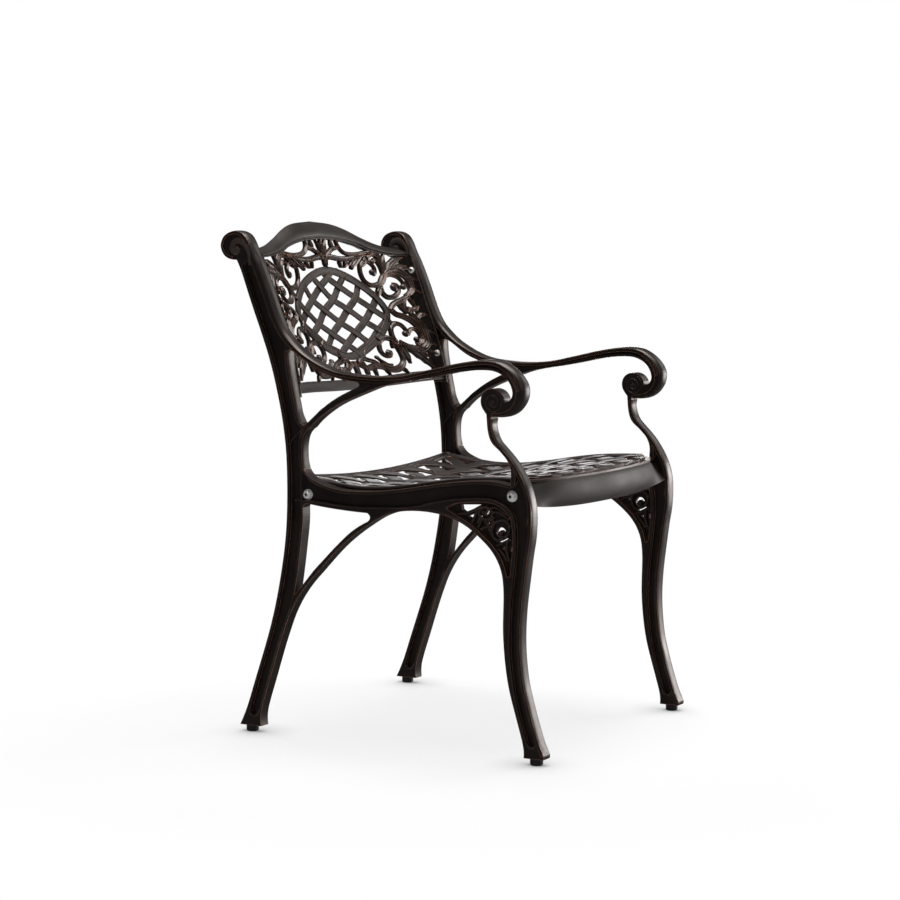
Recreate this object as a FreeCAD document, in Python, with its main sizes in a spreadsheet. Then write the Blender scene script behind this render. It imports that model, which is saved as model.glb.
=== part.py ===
"""Cast garden armchair: two pierced side frames, a woven seat casting and a pierced back casting,
bolted together. Millimetres. +X is the sitter's left, the chair faces -Y, +Z is up, and the
origin lies on the ground under the middle of the chair."""
import FreeCAD, Part
import Sketcher
import math
import os

from FreeCAD import Vector

doc = FreeCAD.newDocument("garden_armchair")

# Driving sizes
SIZES = [
    ("overall_width", 535.0, "across the outer faces of the side frames"),
    ("frame_thick", 22.0, "thickness of a side frame"),
    ("foot_spacing", 542.7, "rear foot to front foot, centre to centre"),
    ("shoe_height", 10.5, "ground to the underside of a leg's shoe"),
    ("seat_height", 447.0, "ground to the crown of the seat rail"),
    ("arm_height", 637.0, "ground to the top of the arm at its hook"),
    ("back_height", 842.0, "ground to the top of the post's scroll"),
    ("curve_tolerance", 0.4, "how closely arcs follow the drawn curves"),
    ("hollow_depth", 7.5, "depth of the hollow in each face of a frame"),
    ("arm_width", 30.0, "width of the arm's cap at its hook"),
    ("cap_thick", 3.6, "how far the arm's cap reaches down from the arm's top edge"),
    ("side_gap", 0.3, "clearance between a side frame and what hangs between the frames"),
    ("seat_thick", 5.5, "thickness of the seat's bands and rim"),
    ("seat_rim", 15.0, "width of the plain rim round the seat"),
    ("seat_dish", 14.0, "how far the middle of the seat lies below its sides"),
    ("seat_bow", 28.0, "how far the seat's front bows past its corners"),
    ("apron_drop", 54.0, "height of the apron in the middle of the seat's front"),
    ("apron_inset", 1.0, "how far the apron's ends stand in from the seat's sides"),
    ("band_width", 26.0, "width of a woven seat band"),
    ("band_pitch", 52.0, "spacing of the seat bands, square to their run"),
    ("skirt_thick", 5.0, "thickness of the seat's side skirts"),
    ("skirt_drop", 36.0, "height of the seat's side skirts"),
    ("boss_length", 17.0, "length of a seat boss, skirt included"),
    ("boss_diameter", 24.0, "bosses and pads round the seat bolts"),
    ("back_thick", 9.0, "thickness of the pierced back"),
    ("ribbon_width", 12.0, "width of a ribbon in the back's woven oval"),
    ("scroll_width", 7.5, "width of a scroll's band where it starts"),
    ("rail_thick", 4.5, "thickness of the back's side rails"),
    ("rail_ahead", 18.0, "how far the side rails stand ahead of the back's line"),
    ("rail_behind", 6.0, "how far the side rails reach behind the back's line"),
    ("crest_thick", 16.0, "thickness of the back's crest"),
    ("seat_bolt_diameter", 8.0, "thread of the seat bolts"),
    ("seat_bolt_reach", 32.0, "length of a seat bolt under its head"),
    ("seat_head_diameter", 13.0, "button head of a seat bolt"),
    ("seat_head_height", 4.4, "height of a seat bolt's head"),
    ("seat_socket", 5.0, "hexagon socket across flats, seat bolts"),
    ("washer_diameter", 18.0, "flat washer"),
    ("washer_thick", 1.6, "thickness of a flat washer"),
    ("lock_diameter", 14.0, "spring washer"),
    ("lock_thick", 2.0, "thickness of a spring washer"),
    ("back_bolt_diameter", 6.0, "thread of the back bolts"),
    ("back_bolt_reach", 16.0, "length of a back bolt under its head"),
    ("back_head_diameter", 10.0, "button head of a back bolt"),
    ("back_head_height", 3.2, "height of a back bolt's head"),
    ("back_socket", 4.0, "hexagon socket across flats, back bolts"),
    ("back_washer_diameter", 12.0, "flat washer of a back bolt"),
    ("back_washer_thick", 1.2, "thickness of a back bolt's washer"),
    ("bolt_clearance", 0.5, "a bolt hole's diameter above its bolt"),
    ("bearing_gap", 0.1, "clearance between flat faces that bear on each other"),
    ("glide_diameter", 21.0, "foot glide"),
    ("glide_ease", 1.5, "bevel round the underside of a glide"),
    ("glide_stem", 10.0, "stem of a glide, pressed into the shoe"),
    ("glide_stem_length", 14.0, "length of a glide's stem"),
]
sheet = doc.addObject("Spreadsheet::Sheet", "sizes")
for row, (alias, value, meaning) in enumerate(SIZES, start=1):
    sheet.set("A%d" % row, meaning)
    sheet.set("B%d" % row, str(value))
    sheet.setAlias("B%d" % row, alias)
DERIVED = [
    ("seat_thread_radius", "=seat_bolt_diameter / 2"),
    ("seat_head_radius", "=seat_head_diameter / 2"),
    ("seat_head_crown", "=seat_head_diameter / 2 - seat_head_height / 2"),
    ("seat_head_edge", "=seat_bolt_reach + seat_head_height * 0.4"),
    ("seat_head_top", "=seat_bolt_reach + seat_head_height"),
    ("back_thread_radius", "=back_bolt_diameter / 2"),
    ("back_head_radius", "=back_head_diameter / 2"),
    ("back_head_crown", "=back_head_diameter / 2 - back_head_height / 2"),
    ("back_head_edge", "=back_bolt_reach + back_head_height * 0.4"),
    ("back_head_top", "=back_bolt_reach + back_head_height"),
    ("seat_washer_bore", "=(seat_bolt_diameter + bolt_clearance) / 2"),
    ("back_washer_bore", "=(back_bolt_diameter + bolt_clearance) / 2"),
    ("washer_radius", "=washer_diameter / 2"),
    ("lock_radius", "=lock_diameter / 2"),
    ("back_washer_radius", "=back_washer_diameter / 2"),
    ("glide_radius", "=glide_diameter / 2"),
    ("glide_foot_radius", "=glide_diameter / 2 - glide_ease"),
    ("glide_stem_radius", "=glide_stem / 2"),
    ("glide_top", "=shoe_height - bearing_gap"),
    ("glide_end", "=shoe_height - bearing_gap + glide_stem_length"),
]
for row, (alias, formula) in enumerate(DERIVED, start=len(SIZES) + 2):
    sheet.set("B%d" % row, formula)
    sheet.setAlias("B%d" % row, alias)
doc.recompute()


def size(alias):
    return float(sheet.get(alias))


# The side view is drawn on these stations, and stretched between them when a driving size changes
DRAWN_RUN = [(0.0, 0.0), (542.7, size("foot_spacing"))]
DRAWN_RISE = [(10.5, size("shoe_height")), (447.0, size("seat_height")),
              (637.0, size("arm_height")), (842.0, size("back_height"))]
SCROLL_BACK = -50.0
TOE_FRONT = 561.0


def stretched(value, stations):
    """Linear between the stations, and carried on unstretched past the ends."""
    if value <= stations[0][0]:
        return value + stations[0][1] - stations[0][0]
    for (a, real_a), (b, real_b) in zip(stations, stations[1:]):
        if value <= b:
            return real_a + (value - a) * (real_b - real_a) / (b - a)
    return value + stations[-1][1] - stations[-1][0]


def run(u):
    """Fore and aft place of a drawn point: u is measured forward from the rear foot."""
    middle = (stretched(SCROLL_BACK, DRAWN_RUN) + stretched(TOE_FRONT, DRAWN_RUN)) / 2
    return middle - stretched(u, DRAWN_RUN)


def rise(z):
    return stretched(z, DRAWN_RISE)


def at(x, u, z):
    return Vector(x, run(u), rise(z))


def between(value, table):
    """Straight-line reading of a short table of (value, reading)."""
    if value <= table[0][0]:
        return table[0][1]
    for (a, read_a), (b, read_b) in zip(table, table[1:]):
        if value <= b:
            return read_a + (value - a) * (read_b - read_a) / (b - a)
    return table[-1][1]


def path(points):
    """Edges along the points: one line for two points, otherwise tangent arcs along a smooth curve."""
    if len(points) == 2:
        return [Part.LineSegment(points[0], points[1]).toShape()]
    curve = Part.BSplineCurve()
    curve.interpolate(points)
    return [arc.toShape() for arc in curve.toBiArcs(size("curve_tolerance"))]


def closed(stretches):
    """A closed wire. Stretches of points follow each other and meet at corners."""
    return Part.Wire([side for stretch in stretches for side in path(stretch)])


def loop(x, stretches):
    """A closed wire in the plane of a side frame."""
    return closed([[at(x, u, z) for u, z in stretch] for stretch in stretches])


def plate(x, stretches, thick):
    """A slab with the given outline, from x to x + thick."""
    return Part.Face(loop(x, stretches)).extrude(Vector(thick, 0, 0))


def flat_face(points):
    return Part.Face(Part.makePolygon(points + [points[0]]))


def add_shape(name, shape):
    item = doc.addObject("Part::Feature", name)
    item.Shape = shape
    item.Label = name
    return item


half_width = size("overall_width") / 2
frame_thick = size("frame_thick")
inner_face = half_width - frame_thick

# Side frame: outline and windows as (u, z), u forward from the rear foot, z up
BACK_EDGE = [(-18, 10.5), (-6, 36), (10, 80), (30, 137), (50, 200), (66, 270), (78, 350), (80, 400),
             (76, 500), (61, 578), (40, 650), (20, 700), (0, 752), (-10, 778), (-18, 794)]
TOP_EDGE = [(-18, 794), (-27, 794.5), (-41, 800), (-50, 816), (-45, 831), (-33, 839.5), (-18, 842),
            (-3, 836), (6, 822), (12, 803), (20, 785), (30, 762), (40, 738), (50, 713), (60, 692),
            (73, 672), (90, 656), (110, 641), (140, 625), (170, 614), (200, 609), (250, 606),
            (300, 609), (350, 619), (400, 630), (440, 636), (465, 636.5), (485, 631), (503, 617),
            (513, 603), (516.5, 592), (515, 578), (508, 565), (497, 556), (482, 551.5), (466, 550)]
FRONT_EDGE = [(466, 550), (465, 537), (468, 523), (474, 511), (485, 499.5), (497, 487.5),
              (508, 474.5), (518, 459), (529, 438), (535.5, 415), (537, 392), (536, 361),
              (531, 330), (525.5, 290), (520.5, 250), (518, 210), (519, 172), (524, 130),
              (533, 95), (543, 62), (553, 34), (558.5, 23), (561, 16), (560, 10.5)]
LOWER_EDGE = [(525, 10.5), (525, 24), (520, 45), (510, 78), (500, 112), (493, 148), (488.5, 190),
              (487.5, 235), (488.5, 270), (485.5, 298), (478, 320), (466, 337), (448, 354),
              (428, 369), (400, 382.5), (370, 390.5), (345, 393), (320, 392.5), (300, 390.5),
              (280, 386), (260, 378), (240, 366), (200, 338.5), (170, 312), (130, 270),
              (110, 248), (97, 229), (85, 208), (69, 170), (52, 120), (38, 78), (27, 44),
              (24, 28), (24.5, 10.5)]
OUTLINE = [BACK_EDGE, TOP_EDGE, FRONT_EDGE, [(560, 10.5), (525, 10.5)], LOWER_EDGE,
           [(24.5, 10.5), (-18, 10.5)]]

ARM_WINDOW = [
    [(81.5, 647), (83, 618), (88, 590), (94, 562), (99, 541), (106, 527), (113, 522)],
    [(113, 522), (122, 528), (140, 543), (160, 559), (180, 571), (200, 581), (216, 588)],
    [(216, 588), (221, 592.5), (216, 597)],
    [(216, 597), (190, 600), (165, 606), (130, 620), (112, 632), (97, 642), (81.5, 647)],
]
POST_FRONT = [(126, 519), (114, 508), (109, 490), (109, 466), (113, 450)]
RAIL_TOP = [(113, 450), (121, 440), (131, 433), (150, 426), (170, 421), (200, 418.5), (250, 420.5),
            (300, 426.5), (350, 435.5), (400, 443), (450, 447), (480, 446), (501, 442)]
SEAT_WINDOW = [
    POST_FRONT,
    RAIL_TOP,
    [(501, 442), (501, 457), (500, 470), (490, 487), (480, 497), (470, 505), (464, 513),
     (460, 525), (458, 540), (457, 553.5)],
    [(457, 553.5), (451, 561), (447, 570), (447.5, 580), (452, 588), (460, 593), (470, 594),
     (480, 590.5), (487, 583), (489, 574)],
    [(489, 574), (495, 575), (500, 578.5), (503, 586), (502.5, 595), (497, 606), (485, 616),
     (470, 621.5), (450, 623), (430, 621.5), (400, 617.5), (360, 609.5), (330, 603.5),
     (290, 597), (258, 590), (218, 575), (188, 563), (158, 546), (138, 531), (126, 519)],
]
LEG_WINDOW = [
    [(111, 386), (110.5, 360), (107, 330), (103, 300), (98.5, 270), (93, 239)],
    [(93, 239), (104, 251), (113, 261), (130, 281), (150, 301), (170, 321), (200, 347.5),
     (220, 361.5), (236, 370)],
    [(236, 370), (241, 377), (236, 384)],
    [(236, 384), (200, 385.5), (150, 389.5), (119, 393.5)],
    [(119, 393.5), (113, 391.5), (111, 386)],
]

# Hollows of the casting: the strip between an inset rear edge and an inset front edge
POST_HOLLOW = [
    [(1, 31), (14, 80), (34, 137), (54, 200), (70, 270), (82, 350), (84, 400), (80, 500),
     (65, 578), (44, 650), (24, 700), (4, 752), (-8, 784)],
    [(-8, 784), (4, 796)],
    [(4, 796), (16, 782), (26, 760), (36, 736), (46, 711), (58, 688), (72, 668), (79, 650),
     (79.5, 618), (84, 590), (90, 561), (95, 540), (101, 526), (110, 517)],
    [(110, 517), (120, 508), (120, 455), (112, 449)],
    [(112, 449), (108, 430), (108, 386), (107, 360), (103.5, 330), (99.5, 300), (95, 270),
     (90, 235), (81, 209), (65, 170), (48, 120), (34, 78), (22, 40)],
    [(22, 40), (11, 27), (1, 31)],
]
RAIL_HOLLOW = [
    [(96, 398), (150, 396), (200, 392), (260, 393.5), (320, 398), (360, 407.5), (400, 415),
     (440, 418.5), (462, 418), (480, 413.5), (494, 406), (503, 397), (508, 380)],
    [(508, 380), (528, 380)],
    [(528, 380), (531, 413), (524, 437), (515, 453), (505, 468)],
    [(505, 468), (505, 442), (500, 438.5)],
    [(500, 438.5), (480, 442), (450, 443), (400, 439), (350, 431.5), (300, 422.5), (250, 416.5),
     (200, 414.5), (170, 417), (150, 422), (129, 429.5), (116, 441), (96, 450)],
    [(96, 450), (96, 398)],
]
FRONT_LEG_HOLLOW = [
    [(508, 382), (508.5, 330), (504, 290), (500, 250), (498, 200), (499, 172), (504, 130),
     (511, 95), (520, 62), (529, 36)],
    [(529, 36), (537, 27), (547, 34)],
    [(547, 34), (539, 62), (529, 95), (520, 130), (515, 172), (514, 210), (516.5, 250),
     (521.5, 290), (527, 330), (531.5, 361), (532.5, 382)],
    [(532.5, 382), (508, 382)],
]
BRACKET_HOLLOW = [
    [(384, 400), (400, 408), (420, 411.5), (440, 413.5), (460, 413.5), (478, 409), (490, 402),
     (499, 391), (503.5, 375), (504, 340), (500, 300)],
    [(500, 300), (494, 296)],
    [(494, 296), (486, 322), (472, 342), (452, 360), (431, 376), (407, 388), (384, 400)],
]
ARM_HOLLOW = [
    [(128, 627), (150, 617.5), (175, 609), (200, 605), (250, 602), (300, 605), (350, 615),
     (400, 626), (440, 632), (465, 632.5), (483, 627), (500, 613.5), (509, 601)],
    [(509, 601), (506, 598)],
    [(506, 598), (500, 609), (487, 619), (470, 625), (450, 626.5), (430, 625), (400, 621.5),
     (360, 613.5), (330, 607.5), (290, 601), (250, 597.5), (200, 601), (165, 609.5), (132, 623)],
    [(132, 623), (128, 627)],
]

# Crown line of the arm's cap, which widens towards the hook
ARM_LINE = [(140, 625), (170, 614), (200, 609), (250, 606), (300, 609), (350, 619), (400, 630),
            (440, 636), (465, 636.5), (485, 631), (503, 617), (513, 603), (516.5, 592)]
CAP_CROWN = 0.8

# Pierced bracket under the seat rail's front: corners of its openings
BRACKET_OPENINGS = [
    [(408, 407), (410, 399), (416, 395.5), (431, 402), (444, 409)],
    [(420, 389), (433, 394), (431, 385)],
    [(437.5, 380), (442, 379.5), (446.5, 391), (442, 392)],
    [(451, 394), (455, 391.5), (459, 399), (455, 401)],
    [(454, 379), (461, 379), (463, 384), (457, 383)],
    [(457, 370), (463, 371), (463, 365)],
    [(475.5, 351), (479, 349), (493, 357.5), (490, 360)],
    [(483, 341), (492, 346.5), (491, 335)],
    [(498, 337), (501, 339), (500.5, 346), (498.5, 345)],
    [(484, 401), (489, 399.5), (489, 404), (485, 404)],
    [(496, 388), (502, 385.5), (501, 393)],
]
CURL_CENTRE = (480.5, 366.0)

# Bolt places, as (u, z)
SEAT_BOLTS = [(117.0, 408.0), (500.0, 425.0)]
BACK_BOLTS = [(19.5, 771.5), (74.0, 620.5)]
FEET = [0.0, 542.7]


def disc(x, u, z, diameter, length):
    """A cylinder along X from x."""
    return Part.makeCylinder(diameter / 2, length, at(x, u, z), Vector(1, 0, 0))


def beside(points, distances):
    """The points moved sideways, square to the run between their neighbours."""
    last = len(points) - 1
    moved = []
    for i, (x, z) in enumerate(points):
        a, b = points[max(i - 1, 0)], points[min(i + 1, last)]
        length = math.hypot(b[0] - a[0], b[1] - a[1])
        moved.append((x - (b[1] - a[1]) / length * distances[i],
                      z + (b[0] - a[0]) / length * distances[i]))
    return moved


def arm_cap():
    count = len(ARM_LINE)
    crown = beside(ARM_LINE, [CAP_CROWN] * count)
    low = beside(ARM_LINE, [-size("cap_thick")] * count)
    low.reverse()
    middle = -half_width + frame_thick / 2
    reach = size("arm_width") / 2
    strip = plate(middle - reach - 1, [crown, [crown[-1], low[0]], low, [low[-1], crown[0]]],
                  2 * reach + 2)
    narrow = frame_thick / 2 - 0.6
    (start_u, start_z), (end_u, end_z) = ARM_LINE[0], (ARM_LINE[-1][0] + 3, 570)
    plan = [at(middle - narrow, start_u - 10, end_z), at(middle - reach, end_u, end_z),
            at(middle + reach, end_u, end_z), at(middle + narrow, start_u - 10, end_z)]
    return strip.common(flat_face(plan).extrude(Vector(0, 0, 100)))


def side_frame():
    outer = -half_width
    body = plate(outer, OUTLINE, frame_thick)
    for window in (ARM_WINDOW, SEAT_WINDOW, LEG_WINDOW):
        body = body.cut(plate(outer - 1, window, frame_thick + 2))
    depth = size("hollow_depth")
    pads = [disc(-inner_face - depth, u, z, size("boss_diameter"), depth) for u, z in SEAT_BOLTS]
    pads += [disc(-inner_face - depth, u, z, size("boss_diameter") * 0.7, depth)
             for u, z in BACK_BOLTS]
    for hollow in (POST_HOLLOW, RAIL_HOLLOW, FRONT_LEG_HOLLOW, BRACKET_HOLLOW, ARM_HOLLOW):
        body = body.cut(plate(outer - 1, hollow, depth + 1))
        cutter = plate(-inner_face - depth, hollow, depth + 1)
        body = body.cut(cutter.cut(Part.makeCompound(pads)))
    for corners in BRACKET_OPENINGS:
        outline = [list(pair) for pair in zip(corners, corners[1:] + corners[:1])]
        body = body.cut(plate(outer - 1, outline, frame_thick + 2))
    curl = disc(outer - 1, *CURL_CENTRE, 17.0, frame_thick + 2)
    eye = disc(outer - 1, *CURL_CENTRE, 8.0, frame_thick + 2)
    stem = plate(outer - 1, [[(479, 368), (489, 368)], [(489, 368), (489, 357)],
                             [(489, 357), (479, 357)], [(479, 357), (479, 368)]], frame_thick + 2)
    body = body.cut(curl.cut(eye.fuse(stem)))
    body = body.fuse(arm_cap())
    clear = size("bolt_clearance")
    for u, z in SEAT_BOLTS:
        hole = disc(outer - 1, u, z, size("seat_bolt_diameter") + clear, frame_thick + 2)
        body = body.cut(hole)
    for u, z in BACK_BOLTS:
        reach = size("back_bolt_reach") - size("rail_thick")
        body = body.cut(disc(-inner_face - reach, u, z, size("back_bolt_diameter"), reach + 1))
    for foot in FEET:
        base = at(outer + frame_thick / 2, foot, 10.5)
        socket = Part.makeCylinder(size("glide_stem") / 2, size("glide_stem_length") + clear,
                                   base - Vector(0, 0, 0.01), Vector(0, 0, 1))
        body = body.cut(socket)
    return body


right_frame = add_shape("right_side_frame", side_frame())
left_frame = doc.addObject("Part::Mirroring", "left_side_frame")
left_frame.Label = "left_side_frame"
left_frame.Source = right_frame
left_frame.Normal = Vector(1, 0, 0)

# Seat: one casting between the side frames, shaped along the seat rails and dished in the middle
seat_half = inner_face - size("side_gap")
SEAT_PROFILE = [(88, 436), (120, 430.5), (150, 426), (200, 421.5), (250, 422.5), (300, 428.5),
                (350, 437), (400, 444), (450, 447.5), (500, 448.5), (530, 448.5), (560, 448.5)]
SEAT_BACK = 88.0
SEAT_FRONT = 520.0
DISH_FADE = [(88, 0.95), (330, 1.0), (440, 0.6), (520, 0.0)]


BOW = size("seat_bow")
BOW_RADIUS = (seat_half ** 2 + BOW ** 2) / (2 * BOW)


def front_of_seat(x):
    """Arc whose ends meet the side frames and whose middle stands ahead by the bow."""
    return SEAT_FRONT + BOW - BOW_RADIUS + math.sqrt(BOW_RADIUS ** 2 - x * x)


def seat_sag(x, u):
    return size("seat_dish") * (1 - (x / seat_half) ** 2) * between(u, DISH_FADE)


def surface(rows):
    """Smooth face through rows of points."""
    skin = Part.BSplineSurface()
    skin.interpolate(rows)
    return skin.toShape()


def seat_slab(thick):
    columns = [seat_half * i / 2 for i in range(-2, 3)]
    rows = [[at(x, u, z) - Vector(0, 0, seat_sag(x, u)) for x in columns] for u, z in SEAT_PROFILE]
    return surface(rows).extrude(Vector(0, 0, -thick))


def merged(shapes):
    """One region of overlapping flat faces: fused, then bounded by the edges that only one has."""
    faces = [face for shape in shapes for face in shape.Faces if face.Area > 1]
    uses = {}
    for face in faces[0].multiFuse(faces[1:]).Faces:
        for side in face.Edges:
            uses.setdefault(side.hashCode(), []).append(side)
    border = [same[0] for same in uses.values() if len(same) == 1]
    wires = [Part.Wire(run_of_edges) for run_of_edges in Part.sortEdges(border)]
    return Part.makeFace(wires, "Part::FaceMakerBullseye")


def joined(solids):
    return solids[0].multiFuse(solids[1:]).removeSplitter()


def seat_outline(inset):
    """Seen from above, on the ground: straight sides and back, bowed front."""
    half = seat_half - inset
    front = [Vector(half * i / 6, run(front_of_seat(half * i / 6) - inset), 0)
             for i in range(6, -7, -1)]
    left, right = Vector(-half, run(SEAT_BACK + inset), 0), Vector(half, run(SEAT_BACK + inset), 0)
    return Part.Face(closed([front, [front[-1], left], [left, right], [right, front[0]]]))


# An opening of the weave is centred here on the middle line
WEAVE_START = 152.0


def seat_bands():
    """Two families of flat bands, each at 45 degrees to the chair."""
    middle = Vector(0, run(WEAVE_START), 0)
    reach = seat_half * 4
    count = int(seat_half * 3 / size("band_pitch")) + 1
    bands = []
    for angle in (45, -45):
        along = Vector(math.cos(math.radians(angle)), math.sin(math.radians(angle)), 0)
        across = Vector(-along.y, along.x, 0)
        for i in range(-count, count + 1):
            centre = middle + across * ((i + 0.5) * size("band_pitch"))
            half = across * (size("band_width") / 2)
            start, end = centre - along * reach, centre + along * reach
            bands.append(flat_face([start - half, end - half, end + half, start + half]))
    return bands


def seat():
    sky = Vector(0, 0, rise(700.0))
    field = seat_outline(size("seat_rim") - 1)
    rim = seat_outline(0).cut(seat_outline(size("seat_rim")))
    woven = merged([strip.common(field) for strip in seat_bands()] + [rim])
    pieces = [seat_slab(size("seat_thick")).common(woven.extrude(sky)), apron()]
    profile_top = [(u, z - 3) for u, z in SEAT_PROFILE if u <= SEAT_FRONT]
    drop = size("skirt_drop")
    profile_low = [(u, z - drop) for u, z in reversed(SEAT_PROFILE) if u <= SEAT_FRONT]
    skirt = [profile_top, [profile_top[-1], profile_low[0]], profile_low,
             [profile_low[-1], profile_top[0]]]
    for side in (-1, 1):
        start = seat_half - size("skirt_thick") if side > 0 else -seat_half
        pieces.append(plate(start, skirt, size("skirt_thick")))
        boss = size("boss_length")
        start = seat_half - boss if side > 0 else -seat_half
        for u, z in SEAT_BOLTS:
            pieces.append(disc(start, u, z, size("boss_diameter") * 0.8, boss))
    body = joined(pieces)
    bore = size("seat_bolt_diameter") + size("bolt_clearance")
    for side in (-1, 1):
        start = seat_half - size("boss_length") - 1 if side > 0 else -seat_half - 1
        for u, z in SEAT_BOLTS:
            body = body.cut(disc(start, u, z, bore, size("boss_length") + 2))
    return body


# Section of the apron as (ahead of the seat's front, below its top), outer face then inner face
APRON_OUTER = [(-10, 0.0), (-5, -1.0), (1.0, -5.5), (5.0, -15), (6.5, -29), (5.0, -43), (1.0, -57)]
APRON_INNER = [(-6, -57), (-2.0, -42), (-0.5, -29), (-2.5, -18), (-6, -11.5), (-10, -8.0)]


def apron():
    """Front face of the seat, rolling over the rim and down; shallower towards the legs."""
    top = 448.5

    def section(points):
        return [at(0, front_of_seat(0) + ahead, top) + Vector(0, 0, below) for ahead, below in points]

    outer, inner = section(APRON_OUTER), section(APRON_INNER)
    wall = Part.Face(closed([outer, [outer[-1], inner[0]], inner, [inner[-1], outer[0]]]))
    axis = at(0, front_of_seat(0), top) + Vector(0, BOW_RADIUS, 0)
    swing = math.degrees(math.asin(seat_half / BOW_RADIUS)) + 3
    wall.rotate(axis, Vector(0, 0, 1), -swing)
    ring = wall.revolve(axis, Vector(0, 0, 1), 2 * swing)
    half = seat_half - size("apron_inset")
    hem = []
    for i in range(-6, 7):
        drop = size("apron_drop") * (1 - 0.33 * (i / 6) ** 4)
        hem.append(Vector(half * i / 6, 0, rise(top) - drop))
    right, left = Vector(half, 0, rise(top) + 20), Vector(-half, 0, rise(top) + 20)
    cover = Part.Face(closed([hem, [hem[-1], right], [right, left], [left, hem[0]]]))
    cover.translate(at(0, SEAT_FRONT + BOW + 60, 0))
    return ring.common(cover.extrude(Vector(0, 180, 0)))


seat_panel = add_shape("seat_panel", seat())

# Back: pierced casting that hollows backwards between the posts. BACK_LINE is (z, u) at the posts
BACK_LINE = [(556, 77), (567, 75), (598, 69), (653, 54), (707, 33), (750, 17), (800, -2), (875, -31)]
MIDDLE_BEHIND = [(575, 12), (610, 19), (640, 25), (740, 25), (800, 15.5), (875, 14)]
SIDES_AHEAD = [(556, 15), (740, 15), (800, 8), (875, 5)]
BACK_ROWS = [556, 600, 650, 710, 760, 810, 875]


def back_front(x, z):
    """u of the back's front surface."""
    hollow = between(z, MIDDLE_BEHIND)
    return between(z, BACK_LINE) - hollow + (hollow + between(z, SIDES_AHEAD)) * x * x


def back_slab(ahead, thick):
    shares = [i / 2.0 for i in range(-2, 3)]
    rows = [[at(share * seat_half, back_front(share, z) + ahead, z) for share in shares]
            for z in BACK_ROWS]
    return surface(rows).extrude(Vector(0, thick, 0))


# The back's drawing has its half width here, and is stretched to the width between the posts
DRAWN_HALF = 245.2


def flat(x, z):
    return Vector(x * seat_half / DRAWN_HALF, 0, rise(z))


def outline(stretches):
    return Part.Face(closed([[flat(x, z) for x, z in stretch] for stretch in stretches]))


def band(points, start_width, end_width):
    """A strip that follows the points."""
    last = len(points) - 1
    halves = [(start_width + (end_width - start_width) * i / last) / 2 for i in range(last + 1)]
    left, right = beside(points, halves), beside(points, [-half for half in halves])
    right.reverse()
    return outline([left, [left[-1], right[0]], right, [right[-1], left[0]]])


def leaf(base, tip, width, bend):
    """A leaf with a round base and a pointed tip, bowed sideways by bend."""
    across = (tip[0] - base[0], tip[1] - base[1])
    length = math.hypot(*across)
    along = (across[0] / length, across[1] / length)
    side = (-along[1], along[0])

    def spot(share, half):
        shift = half + bend * 4 * share * (1 - share)
        return (base[0] + along[0] * share * length + side[0] * shift,
                base[1] + along[1] * share * length + side[1] * shift)

    left = [spot(0.0, width * 0.3), spot(0.3, width * 0.5), spot(0.65, width * 0.4), tip]
    right = [tip, spot(0.65, -width * 0.4), spot(0.3, -width * 0.5), spot(0.0, -width * 0.3)]
    return outline([left, right, [right[-1], left[0]]])


def dot(x, z, radius):
    round_edge = Part.makeCircle(radius, flat(x, z), Vector(0, -1, 0))
    return Part.Face(Part.Wire([round_edge]))


OVAL_CENTRE = 698.5
OVAL_REACH = 149.0
OVAL_RISE = 81.5
OVAL_POWER = 1.6


def oval(inset):
    points = []
    for i in range(48):
        angle = 2 * math.pi * i / 48
        a, b = math.cos(angle), math.sin(angle)
        x = math.copysign(abs(a) ** (2 / OVAL_POWER), a) * (OVAL_REACH - inset)
        z = math.copysign(abs(b) ** (2 / OVAL_POWER), b) * (OVAL_RISE - inset)
        points.append(flat(x, OVAL_CENTRE + z))
    quarter = len(points) // 4
    stretches = [(points + points[:1])[i * quarter:(i + 1) * quarter + 1] for i in range(4)]
    return Part.Face(closed(stretches))


# Ribbons of the woven oval that climb to the right; the other family is their mirror image
RIBBONS = [
    [(-134, 722), (-88, 748), (-48, 765), (-20, 775)],
    [(-145, 681), (-107, 703), (-70, 725), (-30, 744), (0, 762), (18, 777)],
    [(-132, 650), (-107, 665), (-75, 683), (-38, 703), (0, 723), (30, 744), (52, 768)],
    [(-76, 641), (-38, 662), (0, 683), (38, 703), (70, 725), (92, 750)],
    [(-33, 624), (0, 645), (38, 662), (75, 683), (107, 703), (134, 728)],
    [(20, 622), (28, 628), (70, 645), (107, 665), (145, 686)],
]

CREST = [
    [(-246, 808.5), (-220, 812), (-180, 818.5), (-140, 831), (-100, 846), (-60, 855.5), (0, 860),
     (60, 855.5), (100, 846), (140, 831), (180, 818.5), (220, 812), (246, 808.5)],
    [(246, 808.5), (246, 796)],
    [(246, 796), (225, 797), (180, 800), (140, 806), (110, 815), (60, 824), (0, 828),
     (-60, 824), (-110, 815), (-140, 806), (-180, 800), (-225, 797), (-246, 796)],
    [(-246, 796), (-246, 808.5)],
]
FOOT_RAIL = [
    [(-246, 587), (-180, 585.5), (-90, 582), (0, 580.5), (90, 582), (180, 585.5), (246, 587)],
    [(246, 587), (246, 572)],
    [(246, 572), (180, 570), (90, 566.5), (0, 565), (-90, 566.5), (-180, 570), (-246, 572)],
    [(-246, 572), (-246, 587)],
]

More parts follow.
